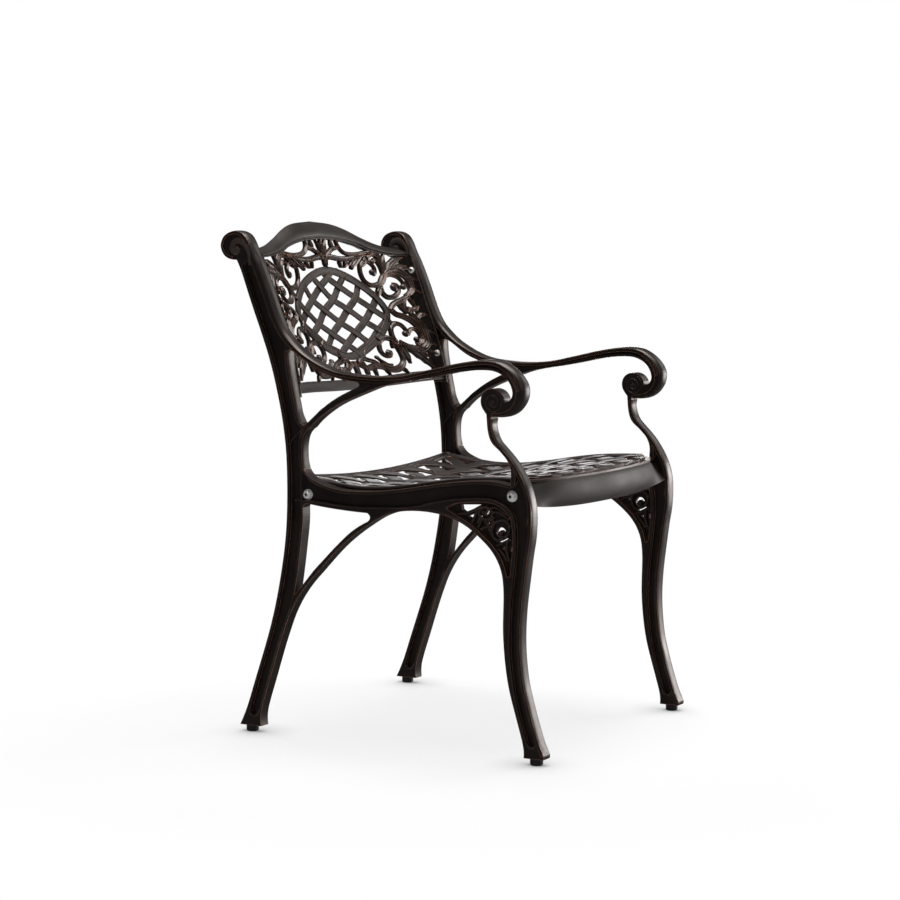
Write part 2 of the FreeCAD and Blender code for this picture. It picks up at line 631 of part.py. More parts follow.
# Scrollwork on the sitter's left half, as (x, z); the right half is its mirror image
BRANCH = [(152, 800), (125, 802), (100, 799), (75, 798), (55, 800), (42, 807), (33, 817), (27, 829)]
UPPER_SCROLL = [(168, 789), (150, 796), (128, 795), (110, 787), (101, 771), (104, 753), (118, 742),
                (136, 743), (151, 752), (157, 767), (150, 780), (137, 784), (126, 779), (122, 769)]
SIDE_SCROLL = [(146, 757), (143, 742), (150, 729), (168, 721), (190, 722), (206, 731), (211, 744),
               (204, 755), (189, 760), (174, 756), (167, 746), (170, 736), (180, 733)]
SIDE_BAND = [(154, 757), (175, 768), (200, 771), (222, 764), (244, 750)]
WAIST_BAND = [(146, 705), (160, 694), (182, 690), (204, 683), (219, 668), (223, 651), (214, 637),
              (198, 629), (182, 633), (176, 644), (182, 654)]
LOWER_BAND = [(138, 645), (137, 660), (146, 672), (160, 675), (173, 669), (175, 657), (166, 650)]
FOOT_SCROLL = [(112, 655), (97, 648), (86, 634), (87, 617), (98, 605), (115, 601), (131, 606),
               (140, 618), (137, 632), (125, 638), (112, 635), (105, 627)]
FOOT_STEM = [(140, 608), (125, 596), (95, 594), (65, 598), (42, 606), (22, 616)]
CURL_ENDS = [(129, 770, 8), (181, 741, 9), (162, 656, 8), (188, 650, 8), (110, 624, 8)]
LEAVES = [
    ((154, 768), (163, 806), 13, 2), ((157, 766), (187, 804), 13, 2), ((162, 765), (209, 801), 12, 2),
    ((170, 764), (244, 786), 12, 3), ((150, 708), (218, 723), 12, 3), ((152, 700), (244, 716), 11, -2),
    ((200, 687), (245, 700), 9, 2), ((138, 650), (166, 600), 13, 2), ((144, 648), (205, 588), 13, 3),
    ((146, 648), (228, 605), 13, 3), ((146, 650), (245, 622), 11, 3), ((215, 650), (245, 655), 9, 1),
    ((116, 803), (88, 768), 10, 3), ((80, 801), (53, 763), 10, 3), ((128, 805), (112, 778), 10, 2),
    ((150, 740), (132, 722), 12, 0), ((128, 800), (148, 792), 10, 0), ((206, 744), (245, 742), 9, -2),
    ((12, 830), (15, 772), 11, 3), ((20, 829), (36, 772), 10, 2), ((0, 832), (0, 776), 12, 0),
    ((0, 622), (0, 578), 13, 0), ((9, 620), (22, 579), 11, -3), ((48, 604), (52, 580), 10, 2),
    ((72, 600), (68, 625), 10, 2), ((130, 606), (147, 583), 9, 2), ((96, 600), (88, 640), 9, -2),
]


def mirrored(face):
    return face.mirror(Vector(0, 0, 0), Vector(1, 0, 0))


def scrollwork():
    width = size("scroll_width")
    half = [band(BRANCH, width + 1.5, width + 1.5), band(UPPER_SCROLL, width + 1, width - 2),
            band(SIDE_SCROLL, width, width - 2), band(SIDE_BAND, width, width),
            band(WAIST_BAND, width + 1, width - 2), band(LOWER_BAND, width, width - 2),
            band(FOOT_SCROLL, width + 0.5, width - 2), band(FOOT_STEM, width, width)]
    half += [dot(x, z, across * 0.8) for x, z, across in CURL_ENDS]
    half += [leaf(*item) for item in LEAVES]
    return half + [mirrored(face) for face in half]


def back():
    ribbon = size("ribbon_width")
    faces = [oval(0).cut(oval(ribbon + 0.5))]
    weave = [band(points, ribbon, ribbon) for points in RIBBONS]
    weave += [mirrored(face) for face in weave]
    faces += [face.common(oval(2.0)) for face in weave]
    faces += scrollwork()
    ground = [outline(FOOT_RAIL)]
    start = at(0, 160, 0)
    deep = Vector(0, 260, 0)
    pattern = merged(faces + ground + [outline(CREST)])
    pattern.translate(start)
    pierced = back_slab(0.0, size("back_thick")).common(pattern.extrude(deep))
    crest = outline(CREST)
    crest.translate(start)
    crest_body = back_slab(3.0, size("crest_thick")).common(crest.extrude(deep))
    line = [(between(z, BACK_LINE), z) for z in BACK_ROWS if 567 < z < 806]
    line = [(between(567, BACK_LINE), 567)] + line
    line += [(between(806, BACK_LINE), 806)]
    front = [(u + size("rail_ahead"), z) for u, z in line]
    rear = [(u - size("rail_behind"), z) for u, z in reversed(line)]
    rail = [front, [front[-1], rear[0]], rear, [rear[-1], front[0]]]
    thick = size("rail_thick")
    pieces = [pierced, crest_body, plate(-seat_half, rail, thick),
              plate(seat_half - thick, rail, thick)]
    body = joined(pieces)
    bore = size("back_bolt_diameter") + size("bolt_clearance")
    seat_size = size("back_washer_diameter") + 2
    for side in (-1, 1):
        for u, z in BACK_BOLTS:
            start_x = seat_half - thick if side > 0 else -seat_half
            body = body.cut(disc(start_x - 1, u, z, bore, thick + 2))
            space = 14.0
            start_x = seat_half - thick - space if side > 0 else -seat_half + thick
            body = body.cut(disc(start_x, u, z, seat_size, space))
    return body


back_panel = add_shape("back_panel", back())


# Bolts, washers and glides, each turned about its own Z axis
def origin_plane(body, role):
    return [item for item in body.Origin.OriginFeatures if item.Role == role][0]


def turned(name, corners):
    """Body of revolution. Each corner is a pair of sheet names, radius then height, or None for 0."""
    body = doc.addObject("PartDesign::Body", name)
    sketch = body.newObject("Sketcher::SketchObject", name + "_profile")
    sketch.AttachmentSupport = [(origin_plane(body, "XZ_Plane"), "")]
    sketch.MapMode = "FlatFace"
    spots = [Vector(size(a) if a else 0, size(b) if b else 0, 0) for a, b in corners]
    count = len(spots)
    for i in range(count):
        sketch.addGeometry(Part.LineSegment(spots[i], spots[(i + 1) % count]))
    for i in range(count):
        sketch.addConstraint(Sketcher.Constraint("Coincident", i, 2, (i + 1) % count, 1))
    for i, pair in enumerate(corners):
        for kind, axis, alias in (("DistanceX", -2, pair[0]), ("DistanceY", -1, pair[1])):
            if alias is None:
                sketch.addConstraint(Sketcher.Constraint("PointOnObject", i, 1, axis))
            else:
                rule = Sketcher.Constraint(kind, -1, 1, i, 1, size(alias))
                index = sketch.addConstraint(rule)
                sketch.setExpression("Constraints[%d]" % index, "sizes." + alias)
    turn = body.newObject("PartDesign::Revolution", name + "_turn")
    turn.Profile = sketch
    turn.ReferenceAxis = (sketch, ["V_Axis"])
    turn.Angle = 360
    body.Tip = turn
    doc.recompute()
    return body


def bolt(kind):
    """Button-head bolt standing on its tip, with a hexagon socket in the head."""
    body = turned(kind + "_bolt_pattern", [
        (None, None), (kind + "_thread_radius", None),
        (kind + "_thread_radius", kind + "_bolt_reach"), (kind + "_head_radius", kind + "_bolt_reach"),
        (kind + "_head_radius", kind + "_head_edge"), (kind + "_head_crown", kind + "_head_top"),
        (None, kind + "_head_top")])
    cut = body.newObject("PartDesign::SubtractivePrism", kind + "_bolt_socket")
    cut.AttachmentSupport = [(origin_plane(body, "XY_Plane"), "")]
    cut.MapMode = "FlatFace"
    cut.Polygon = 6
    cut.setExpression("Circumradius", "sizes.%s_socket * 0.57735" % kind)
    cut.setExpression("AttachmentOffset.Base.z", "sizes.%s_head_edge" % kind)
    cut.setExpression("Height", "sizes.%s_head_height" % kind)
    body.Tip = cut
    doc.recompute()
    return body


def washer(name, bore, outside, thick):
    return turned(name, [(bore, None), (outside, None), (outside, thick), (bore, thick)])


seat_bolt = bolt("seat")
back_bolt = bolt("back")
flat_washer = washer("flat_washer_pattern", "seat_washer_bore", "washer_radius", "washer_thick")
lock_washer = washer("lock_washer_pattern", "seat_washer_bore", "lock_radius", "lock_thick")
back_washer = washer("back_washer_pattern", "back_washer_bore", "back_washer_radius",
                     "back_washer_thick")
glide = turned("glide_pattern", [
    (None, None), ("glide_foot_radius", None), ("glide_radius", "glide_ease"),
    ("glide_radius", "glide_top"), ("glide_stem_radius", "glide_top"),
    ("glide_stem_radius", "glide_end"), (None, "glide_end")])


def placed(body, base, axis):
    """Copy of a turned body, standing at base with its Z axis along axis."""
    shape = body.Shape.copy()
    shape.Placement = FreeCAD.Placement(base, FreeCAD.Rotation(Vector(0, 0, 1), axis))
    return shape


def both_sides(body, places, distance, outward):
    """A copy at each place on both sides of the chair; its Z axis points out of the chair or in."""
    copies = []
    for side in (-1, 1):
        for u, z in places:
            axis = Vector(side * outward, 0, 0)
            copies.append(placed(body, at(side * distance, u, z), axis))
    return Part.makeCompound(copies)


gap = size("bearing_gap")
floor_of_hollow = half_width - size("hollow_depth")
flat_base = floor_of_hollow + gap
lock_base = flat_base + size("washer_thick") + gap
head_base = lock_base + size("lock_thick") + gap
rail_inside = seat_half - size("rail_thick")
back_washer_base = rail_inside - gap
back_head_base = back_washer_base - size("back_washer_thick") - gap
fasteners = [
    add_shape("seat_flat_washers", both_sides(flat_washer, SEAT_BOLTS, flat_base, 1)),
    add_shape("seat_spring_washers", both_sides(lock_washer, SEAT_BOLTS, lock_base, 1)),
    add_shape("seat_bolts", both_sides(seat_bolt, SEAT_BOLTS, head_base - size("seat_bolt_reach"), 1)),
    add_shape("back_washers", both_sides(back_washer, BACK_BOLTS, back_washer_base, -1)),
    add_shape("back_bolts", both_sides(back_bolt, BACK_BOLTS,
                                       back_head_base + size("back_bolt_reach"), -1)),
]

glides = []
for end, foot in (("rear", FEET[0]), ("front", FEET[1])):
    for hand, side in (("right", -1), ("left", 1)):
        base = Vector(side * (half_width - frame_thick / 2), run(foot), 0)
        glides.append(add_shape("%s_%s_glide" % (end, hand), placed(glide, base, Vector(0, 0, 1))))

doc.recompute()
faults = [item.Label for item in doc.Objects
          if "Invalid" in item.State or "Error" in item.State]
nodes = [right_frame, left_frame, seat_panel, back_panel] + fasteners + glides
for item in nodes:
    if item.Shape.isNull() or not item.Shape.isValid():
        faults.append(item.Label)
    print(item.Label, item.Shape.isValid(), round(item.Shape.Volume), len(item.Shape.Faces),
          len(item.Shape.Solids))
if faults:
    raise RuntimeError("faulty: " + ", ".join(faults))

os.makedirs("parts", exist_ok=True)
for item in nodes:
    item.Shape.exportStep("parts/%s.step" % item.Label)
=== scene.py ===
import bpy
import bmesh
import math
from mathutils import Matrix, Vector


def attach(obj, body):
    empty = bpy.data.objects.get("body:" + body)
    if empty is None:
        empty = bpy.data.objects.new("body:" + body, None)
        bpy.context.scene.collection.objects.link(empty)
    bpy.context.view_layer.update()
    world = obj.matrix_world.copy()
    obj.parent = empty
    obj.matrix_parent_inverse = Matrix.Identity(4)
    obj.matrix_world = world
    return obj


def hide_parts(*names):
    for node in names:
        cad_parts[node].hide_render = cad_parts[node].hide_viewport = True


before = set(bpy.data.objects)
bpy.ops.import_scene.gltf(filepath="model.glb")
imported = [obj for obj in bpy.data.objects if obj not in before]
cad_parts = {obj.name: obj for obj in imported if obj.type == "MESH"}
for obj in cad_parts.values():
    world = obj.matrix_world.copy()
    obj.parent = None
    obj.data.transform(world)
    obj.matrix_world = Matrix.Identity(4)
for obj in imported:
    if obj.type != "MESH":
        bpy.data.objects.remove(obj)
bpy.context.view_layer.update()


# The camera of the photograph: focal length in millimetres, place in metres, turn in degrees
CAMERA_LENS = 95.92
CAMERA_PLACE = (-3.5675, -2.0225, 0.830)
CAMERA_TURN = (84.95, 0.0, -60.24)


def set_camera():
    data = bpy.data.cameras.new("camera")
    data.lens = CAMERA_LENS
    data.sensor_width = 36.0
    data.sensor_height = 36.0
    data.sensor_fit = "HORIZONTAL"
    data.clip_end = 50.0
    camera = bpy.data.objects.new("camera", data)
    camera.location = CAMERA_PLACE
    camera.rotation_euler = [math.radians(turn) for turn in CAMERA_TURN]
    bpy.context.scene.collection.objects.link(camera)
    bpy.context.scene.camera = camera


# The chair is drawn in millimetres: x towards the sitter's left, u forward from the rear foot, z up
ORIGIN_U = 255.5
HALF_WIDTH = 267.5
FRAME_THICK = 22.0
INNER_FACE = HALF_WIDTH - FRAME_THICK
MIDDLE_OF_FRAME = (HALF_WIDTH + INNER_FACE) / 2
# The two faces of a side frame, each with the direction that it looks in
FACES = ((HALF_WIDTH, 1), (INNER_FACE, -1))


def at(x, u, z):
    """The place of a drawn point in the shared frame, in metres."""
    return Vector((x, ORIGIN_U - u, z)) / 1000.0


def between(value, table):
    """Straight-line reading of a short table of (value, reading)."""
    if value <= table[0][0]:
        return table[0][1]
    for (a, read_a), (b, read_b) in zip(table, table[1:]):
        if value <= b:
            return read_a + (value - a) * (read_b - read_a) / (b - a)
    return table[-1][1]


def curve(points, step):
    """Points about every step along a smooth curve through the given flat ones."""
    if len(points) == 2:
        points = [points[0], tuple((a + b) / 2 for a, b in zip(*points)), points[1]]
    points = [Vector((a, b)) for a, b in points]
    ends = [2 * points[0] - points[1]] + points + [2 * points[-1] - points[-2]]
    out = []
    for before, start, end, after in zip(ends, ends[1:], ends[2:], ends[3:]):
        count = max(2, round((end - start).length / step))
        for i in range(count):
            t = i / count
            out.append(0.5 * (2 * start + (end - before) * t
                              + (2 * before - 5 * start + 4 * end - after) * t ** 2
                              + (3 * start - before - 3 * end + after) * t ** 3))
    return [tuple(spot) for spot in out + [points[-1]]]


def round_points(count, reach):
    """Points of a circle about the middle, as flat offsets."""
    turns = [2 * math.pi * k / count for k in range(count)]
    return [(reach * math.cos(turn), reach * math.sin(turn)) for turn in turns]


def neighbours(points, i, cyclic=False):
    """The points before and after point i of a run that ends, or that goes round."""
    if cyclic:
        return points[i - 1], points[(i + 1) % len(points)]
    return points[max(i - 1, 0)], points[min(i + 1, len(points) - 1)]


def leftward(points, i, cyclic=False):
    """Unit step to the left of a run of flat points, at its point i."""
    before, after = neighbours(points, i, cyclic)
    run = (after[0] - before[0], after[1] - before[1])
    length = math.hypot(*run)
    return -run[1] / length, run[0] / length


def ring_walls(mesh, rings, cyclic=False):
    """Walls between rings of equal count, closed by the first and last ring or round in a circle."""
    loops = [[mesh.verts.new(spot) for spot in ring] for ring in rings]
    count = len(loops[0])
    follow = loops[1:] + loops[:1] if cyclic else loops[1:]
    for one, two in zip(loops, follow):
        for i in range(count):
            j = (i + 1) % count
            mesh.faces.new((one[i], one[j], two[j], two[i]))
    if not cyclic:
        mesh.faces.new(loops[0])
        mesh.faces.new(loops[-1])


def piece(name, solids, material, crease=50.0):
    """One object of closed solids. Each solid is a pair: its rings, and whether they go round."""
    whole = bmesh.new()
    for rings, cyclic in solids:
        mesh = bmesh.new()
        ring_walls(mesh, rings, cyclic)
        bmesh.ops.recalc_face_normals(mesh, faces=mesh.faces)
        if mesh.calc_volume(signed=True) < 0:
            bmesh.ops.reverse_faces(mesh, faces=mesh.faces)
        part = bpy.data.meshes.new(name + "_part")
        mesh.to_mesh(part)
        mesh.free()
        whole.from_mesh(part)
        bpy.data.meshes.remove(part)
    data = bpy.data.meshes.new(name)
    whole.to_mesh(data)
    whole.free()
    for face in data.polygons:
        face.use_smooth = True
    data.set_sharp_from_angle(angle=math.radians(crease))
    data.materials.append(material)
    thing = bpy.data.objects.new(name, data)
    bpy.context.scene.collection.objects.link(thing)
    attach(thing, "root")
    return thing


def tube(spots, radius, sides=8, cyclic=False):
    """Round wire of a radius in millimetres through the spots of a frame's face."""
    rings = []
    for i, spot in enumerate(spots):
        before, after = neighbours(spots, i, cyclic)
        ahead = (after - before).normalized()
        side = ahead.cross(Vector((1, 0, 0))).normalized()
        top = side.cross(ahead).normalized()
        rings.append([spot + side * a + top * b for a, b in round_points(sides, radius / 1000.0)])
    return rings, cyclic


# Shared effects and materials
def new_group(name, inputs, outputs):
    group = bpy.data.node_groups.new(name, "ShaderNodeTree")
    for label, kind, value in inputs:
        socket = group.interface.new_socket(label, in_out="INPUT", socket_type=kind)
        socket.default_value = value
    for label, kind in outputs:
        group.interface.new_socket(label, in_out="OUTPUT", socket_type=kind)
    start = group.nodes.new("NodeGroupInput")
    end = group.nodes.new("NodeGroupOutput")
    return group, start, end


def feed(links, socket, value):
    """Gives an input its value: another node's output, a number, or a colour as a triple."""
    if hasattr(value, "links"):
        links.new(value, socket)
    else:
        socket.default_value = (*value, 1.0) if isinstance(value, tuple) else value


def math_node(nodes, links, operation, first, second, clamp=False):
    node = nodes.new("ShaderNodeMath")
    node.operation = operation
    node.use_clamp = clamp
    feed(links, node.inputs[0], first)
    feed(links, node.inputs[1], second)
    return node.outputs[0]


def ramp(nodes, links, source, low, high):
    """0 to 1 with soft ends while the source goes from low to high."""
    node = nodes.new("ShaderNodeMapRange")
    node.interpolation_type = "SMOOTHSTEP"
    node.inputs["From Min"].default_value = low
    node.inputs["From Max"].default_value = high
    links.new(source, node.inputs["Value"])
    return node.outputs["Result"]


def noise(nodes, links, scale, detail):
    """Noise over the object's own coordinates."""
    place = nodes.new("ShaderNodeTexCoord")
    node = nodes.new("ShaderNodeTexNoise")
    feed(links, node.inputs["Scale"], scale)
    node.inputs["Detail"].default_value = detail
    links.new(place.outputs["Object"], node.inputs["Vector"])
    return node.outputs["Fac"]


def rubbed_edges():
    """Mask that is 1 where hands and cloths rub the coat off the convex edges."""
    group, start, end = new_group("rubbed_edges", [
        ("Reach", "NodeSocketFloat", 0.0022), ("Patchiness", "NodeSocketFloat", 0.35)],
        [("Mask", "NodeSocketFloat")])
    nodes, links = group.nodes, group.links
    soft = nodes.new("ShaderNodeBevel")
    soft.samples = 6
    links.new(start.outputs["Reach"], soft.inputs["Radius"])
    plain = nodes.new("ShaderNodeNewGeometry")
    dot = nodes.new("ShaderNodeVectorMath")
    dot.operation = "DOT_PRODUCT"
    links.new(soft.outputs["Normal"], dot.inputs[0])
    links.new(plain.outputs["Normal"], dot.inputs[1])
    edge = math_node(nodes, links, "SUBTRACT", 1.0, dot.outputs["Value"], clamp=True)
    patches = noise(nodes, links, 38.0, 4.0)
    worn = math_node(nodes, links, "MULTIPLY", patches, start.outputs["Patchiness"])
    line = ramp(nodes, links, edge, 0.02, 0.22)
    mask = math_node(nodes, links, "SUBTRACT", line, worn, clamp=True)
    links.new(mask, end.inputs["Mask"])
    return group


def cast_grain():
    """Fine sand texture of a coated casting: a height for bumps and a mottle for colour."""
    group, start, end = new_group("cast_grain", [("Grain", "NodeSocketFloat", 900.0)],
                                  [("Height", "NodeSocketFloat"), ("Mottle", "NodeSocketFloat")])
    nodes, links = group.nodes, group.links
    fine = noise(nodes, links, start.outputs["Grain"], 5.0)
    wavy = noise(nodes, links, 16.0, 3.0)
    links.new(fine, end.inputs["Height"])
    links.new(ramp(nodes, links, wavy, 0.3, 0.7), end.inputs["Mottle"])
    return group


def mix_colour(nodes, links, mask, first, second):
    """Mix of two colours, each a socket or a triple."""
    node = nodes.new("ShaderNodeMix")
    node.data_type = "RGBA"
    links.new(mask, node.inputs["Factor"])
    for name, value in (("A", first), ("B", second)):
        socket = [item for item in node.inputs if item.name == name and item.type == "RGBA"][0]
        feed(links, socket, value)
    return [item for item in node.outputs if item.type == "RGBA"][0]


def mix_shaders(nodes, links, mask, first, second):
    node = nodes.new("ShaderNodeMixShader")
    links.new(mask, node.inputs["Fac"])
    links.new(first, node.inputs[1])
    links.new(second, node.inputs[2])
    return node.outputs["Shader"]


def add_group(nodes, group, values):
    node = nodes.new("ShaderNodeGroup")
    node.node_tree = group
    for name, value in values.items():
        node.inputs[name].default_value = value
    return node


def new_material(name):
    material = bpy.data.materials.new(name)
    material.use_nodes = True
    tree = material.node_tree
    return material, tree.nodes, tree.links, tree.nodes["Principled BSDF"]


def grain_bump(nodes, links, grain, shader, strength, distance):
    bump = nodes.new("ShaderNodeBump")
    bump.inputs["Strength"].default_value = strength
    bump.inputs["Distance"].default_value = distance
    links.new(grain.outputs["Height"], bump.inputs["Height"])
    links.new(bump.outputs["Normal"], shader.inputs["Normal"])


COPPER = (0.36, 0.17, 0.11)


def bronze(name, dark, light, rough, reach, patchiness, gloss=0.6):
    """Bronze-black coat over a casting, rubbed to copper along its edges."""
    material, nodes, links, shader = new_material(name)
    grain = add_group(nodes, SHARED["grain"], {"Grain": 1100.0})
    edges = add_group(nodes, SHARED["edges"], {"Reach": reach, "Patchiness": patchiness})
    coat = mix_colour(nodes, links, grain.outputs["Mottle"], dark, light)
    links.new(mix_colour(nodes, links, edges.outputs["Mask"], coat, COPPER),
              shader.inputs["Base Color"])
    roughness = nodes.new("ShaderNodeMapRange")
    roughness.inputs["To Min"].default_value = rough - 0.05
    roughness.inputs["To Max"].default_value = rough + 0.06
    links.new(grain.outputs["Mottle"], roughness.inputs["Value"])
    links.new(roughness.outputs["Result"], shader.inputs["Roughness"])
    grain_bump(nodes, links, grain, shader, 0.12, 0.0004)
    shader.inputs["Specular IOR Level"].default_value = gloss
    shader.inputs["Specular Tint"].default_value = (1.0, 0.84, 0.76, 1.0)
    return material


def steel(name):
    """Bright zinc plate with a fine grain."""
    material, nodes, links, shader = new_material(name)
    shader.inputs["Metallic"].default_value = 0.25
    shader.inputs["Roughness"].default_value = 0.28
    grain = add_group(nodes, SHARED["grain"], {"Grain": 2600.0})
    tint = mix_colour(nodes, links, grain.outputs["Mottle"], (0.82, 0.81, 0.78), (0.95, 0.94, 0.91))
    links.new(tint, shader.inputs["Base Color"])
    grain_bump(nodes, links, grain, shader, 0.15, 0.0002)
    return material


def nylon(name):
    """Black moulded nylon of the foot glides, paler along scuffed edges."""
    material, nodes, links, shader = new_material(name)
    shader.inputs["Roughness"].default_value = 0.55
    grain = add_group(nodes, SHARED["grain"], {"Grain": 700.0})
    edges = add_group(nodes, SHARED["edges"], {"Reach": 0.001, "Patchiness": 0.6})
    body = mix_colour(nodes, links, grain.outputs["Mottle"], (0.012, 0.012, 0.013),
                      (0.022, 0.022, 0.022))
    links.new(mix_colour(nodes, links, edges.outputs["Mask"], body, (0.05, 0.05, 0.05)),
              shader.inputs["Base Color"])
    grain_bump(nodes, links, grain, shader, 0.2, 0.0003)
    return material


def paint(node, material):
    """Gives a CAD node its finish."""
    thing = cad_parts[node]
    thing.data.materials.clear()
    thing.data.materials.append(material)


# Beads that edge the hollows of a side frame, as (u, z); a loop's stretches meet at corners
POST_BEAD = [
    [(1, 31), (14, 80), (34, 137), (54, 200), (70, 270), (82, 350), (84, 400), (80, 500),
     (65, 578), (44, 650), (24, 700), (4, 752), (-8, 784)],
    [(-8, 784), (4, 796)],
    [(4, 796), (16, 782), (26, 760), (36, 736), (46, 711), (58, 688), (72, 668), (79, 650),
     (79.5, 618), (84, 590), (90, 561), (95, 540), (101, 526), (110, 517)],
    [(110, 517), (105.5, 505), (104.5, 490), (104.5, 466), (108, 449)],
    [(108, 449), (107, 430), (108, 386), (107, 360), (103.5, 330), (99.5, 300), (95, 270),
     (90, 235), (81, 209), (65, 170), (48, 120), (34, 78), (22, 40)],
    [(22, 40), (11, 27), (1, 31)],
]
RAIL_BEAD = [
    [(96, 398), (150, 396), (200, 392), (260, 393.5), (320, 398), (360, 407.5), (400, 415),
     (440, 418.5), (462, 418), (480, 413.5), (494, 406), (503, 397), (508, 380)],
]
RAIL_TOP_BEAD = [
    [(505, 468), (505, 442), (500, 438.5)],
    [(500, 438.5), (480, 442), (450, 443), (400, 439), (350, 431.5), (300, 422.5), (250, 416.5),
     (200, 414.5), (170, 417), (150, 422), (129, 429.5), (116, 441), (112, 446)],
]
LEG_BEAD = [
    [(508, 380), (508.5, 330), (504, 290), (500, 250), (498, 200), (499, 172), (504, 130),
     (511, 95), (520, 62), (529, 36)],
    [(529, 36), (537, 27), (547, 34)],
    [(547, 34), (539, 62), (529, 95), (520, 130), (515, 172), (514, 210), (516.5, 250),
     (521.5, 290), (527, 330), (531.5, 361), (532.5, 382), (531, 413), (524, 437), (515, 453),
     (505, 468)],
]
ARM_BEAD = [
    [(128, 627), (150, 617.5), (175, 609), (200, 605), (250, 602), (300, 605), (350, 615),
     (400, 626), (440, 632), (465, 632.5), (483, 627), (500, 613.5), (509, 601)],
    [(509, 601), (506, 598)],
    [(506, 598), (500, 609), (487, 619), (470, 625), (450, 626.5), (430, 625), (400, 621.5),
     (360, 613.5), (330, 607.5), (290, 601), (250, 597.5), (200, 601), (165, 609.5), (132, 623)],
    [(132, 623), (128, 627)],
]
# Underside of the rear leg, lower brace, arch and bracket; and the upper brace's middle line
LOWER_EDGE = [(27, 44), (38, 78), (52, 120), (69, 170), (85, 208), (97, 229), (110, 248), (130, 270),
              (170, 312), (200, 338.5), (240, 366), (260, 378), (280, 386), (300, 390.5),
              (320, 392.5), (345, 393), (370, 390.5), (400, 382.5), (428, 369), (448, 354),
              (466, 337), (478, 320), (485.5, 298), (488.5, 270), (487.5, 235), (488.5, 190)]
BRACE_LINE = [(83, 490), (98, 505.5), (118, 523.5), (134, 537.5), (150, 551), (172, 564.5),
              (196, 576.5), (218, 585), (240, 592)]
BEAD_RADIUS = 1.35
BEAD_SUNK = 0.45
BEAD_STEP = 5.0
THIN_BEAD_RADIUS = 1.08
LOWER_BEAD_INSET = 2.6


def face_spots(points, face, side):
    """Flat points (u, z) on a face of the frame on that side."""
    return [at(side * face, u, z) for u, z in points]


def beside(points, distance):
    """The flat points moved to the left of their run."""
    moved = []
    for i, (x, z) in enumerate(points):
        step = leftward(points, i)
        moved.append((x + step[0] * distance, z + step[1] * distance))
    return moved


def joined(stretches):
    """One run of flat points along stretches that meet at corners."""
    points = []
    for stretch in stretches:
        points += curve(stretch, BEAD_STEP)[:-1]
    return points


def frame_beads(side):
    """Wires on the outer and the inner face of the frame on that side."""
    solids = []
    for face, outward in FACES:
        deep = face - outward * BEAD_SUNK
        for loop in (POST_BEAD, ARM_BEAD):
            solids.append(tube(face_spots(joined(loop), deep, side), BEAD_RADIUS, cyclic=True))
        for line in (RAIL_BEAD, RAIL_TOP_BEAD, LEG_BEAD):
            points = joined(line) + [line[-1][-1]]
            solids.append(tube(face_spots(points, deep, side), BEAD_RADIUS))
        for line in (BRACE_LINE, beside(LOWER_EDGE, LOWER_BEAD_INSET)):
            points = curve(line, BEAD_STEP)
            solids.append(tube(face_spots(points, deep, side), THIN_BEAD_RADIUS))
    return solids


SPIRAL_PARTS = 26


def spiral(centre, start, turns, outer, inner):
    """Flat spiral that winds inwards and backwards round from its start in degrees."""
    count = int(turns * SPIRAL_PARTS)
    points = []
    for i in range(count + 1):
        t = i / count
        angle = math.radians(start) - 2 * math.pi * turns * t
        reach = outer + (inner - outer) * t
        points.append((centre[0] + reach * math.cos(angle), centre[1] + reach * math.sin(angle)))
    return points


DOME_STEPS = 5
DOME_SUNK = 0.2


def boss(side, face, outward, spot, reach, rise, sides=15):
    """Domed round spot on the face of a frame."""
    rings = []
    for k in range(DOME_STEPS):
        swell = math.pi / 2 * k / DOME_STEPS
        deep = face + outward * (rise * math.sin(swell) - DOME_SUNK)
        rings.append([at(side * deep, spot[0] + a, spot[1] + b)
                      for a, b in round_points(sides, reach * math.cos(swell))])
    return rings, False


# Knob that the arm's hook curls round, with a spiral wire from the hook to an eye
KNOB_CENTRE = (468.0, 572.5)
KNOB_START = 60.0
KNOB_TURNS = 1.7
KNOB_OUTER = 17.5
KNOB_INNER = 5.0
KNOB_EYE = 4.0
KNOB_EYE_RISE = 1.6


def frame_scrolls(side):
    """Spiral wires on both faces of the arm's knob, with an eye in each."""
    solids = []
    points = spiral(KNOB_CENTRE, KNOB_START, KNOB_TURNS, KNOB_OUTER, KNOB_INNER)
    for face, outward in FACES:
        deep = face - outward * BEAD_SUNK
        solids.append(tube(face_spots(points, deep, side), BEAD_RADIUS))
        solids.append(boss(side, deep, outward, KNOB_CENTRE, KNOB_EYE, KNOB_EYE_RISE, sides=12))
    return solids


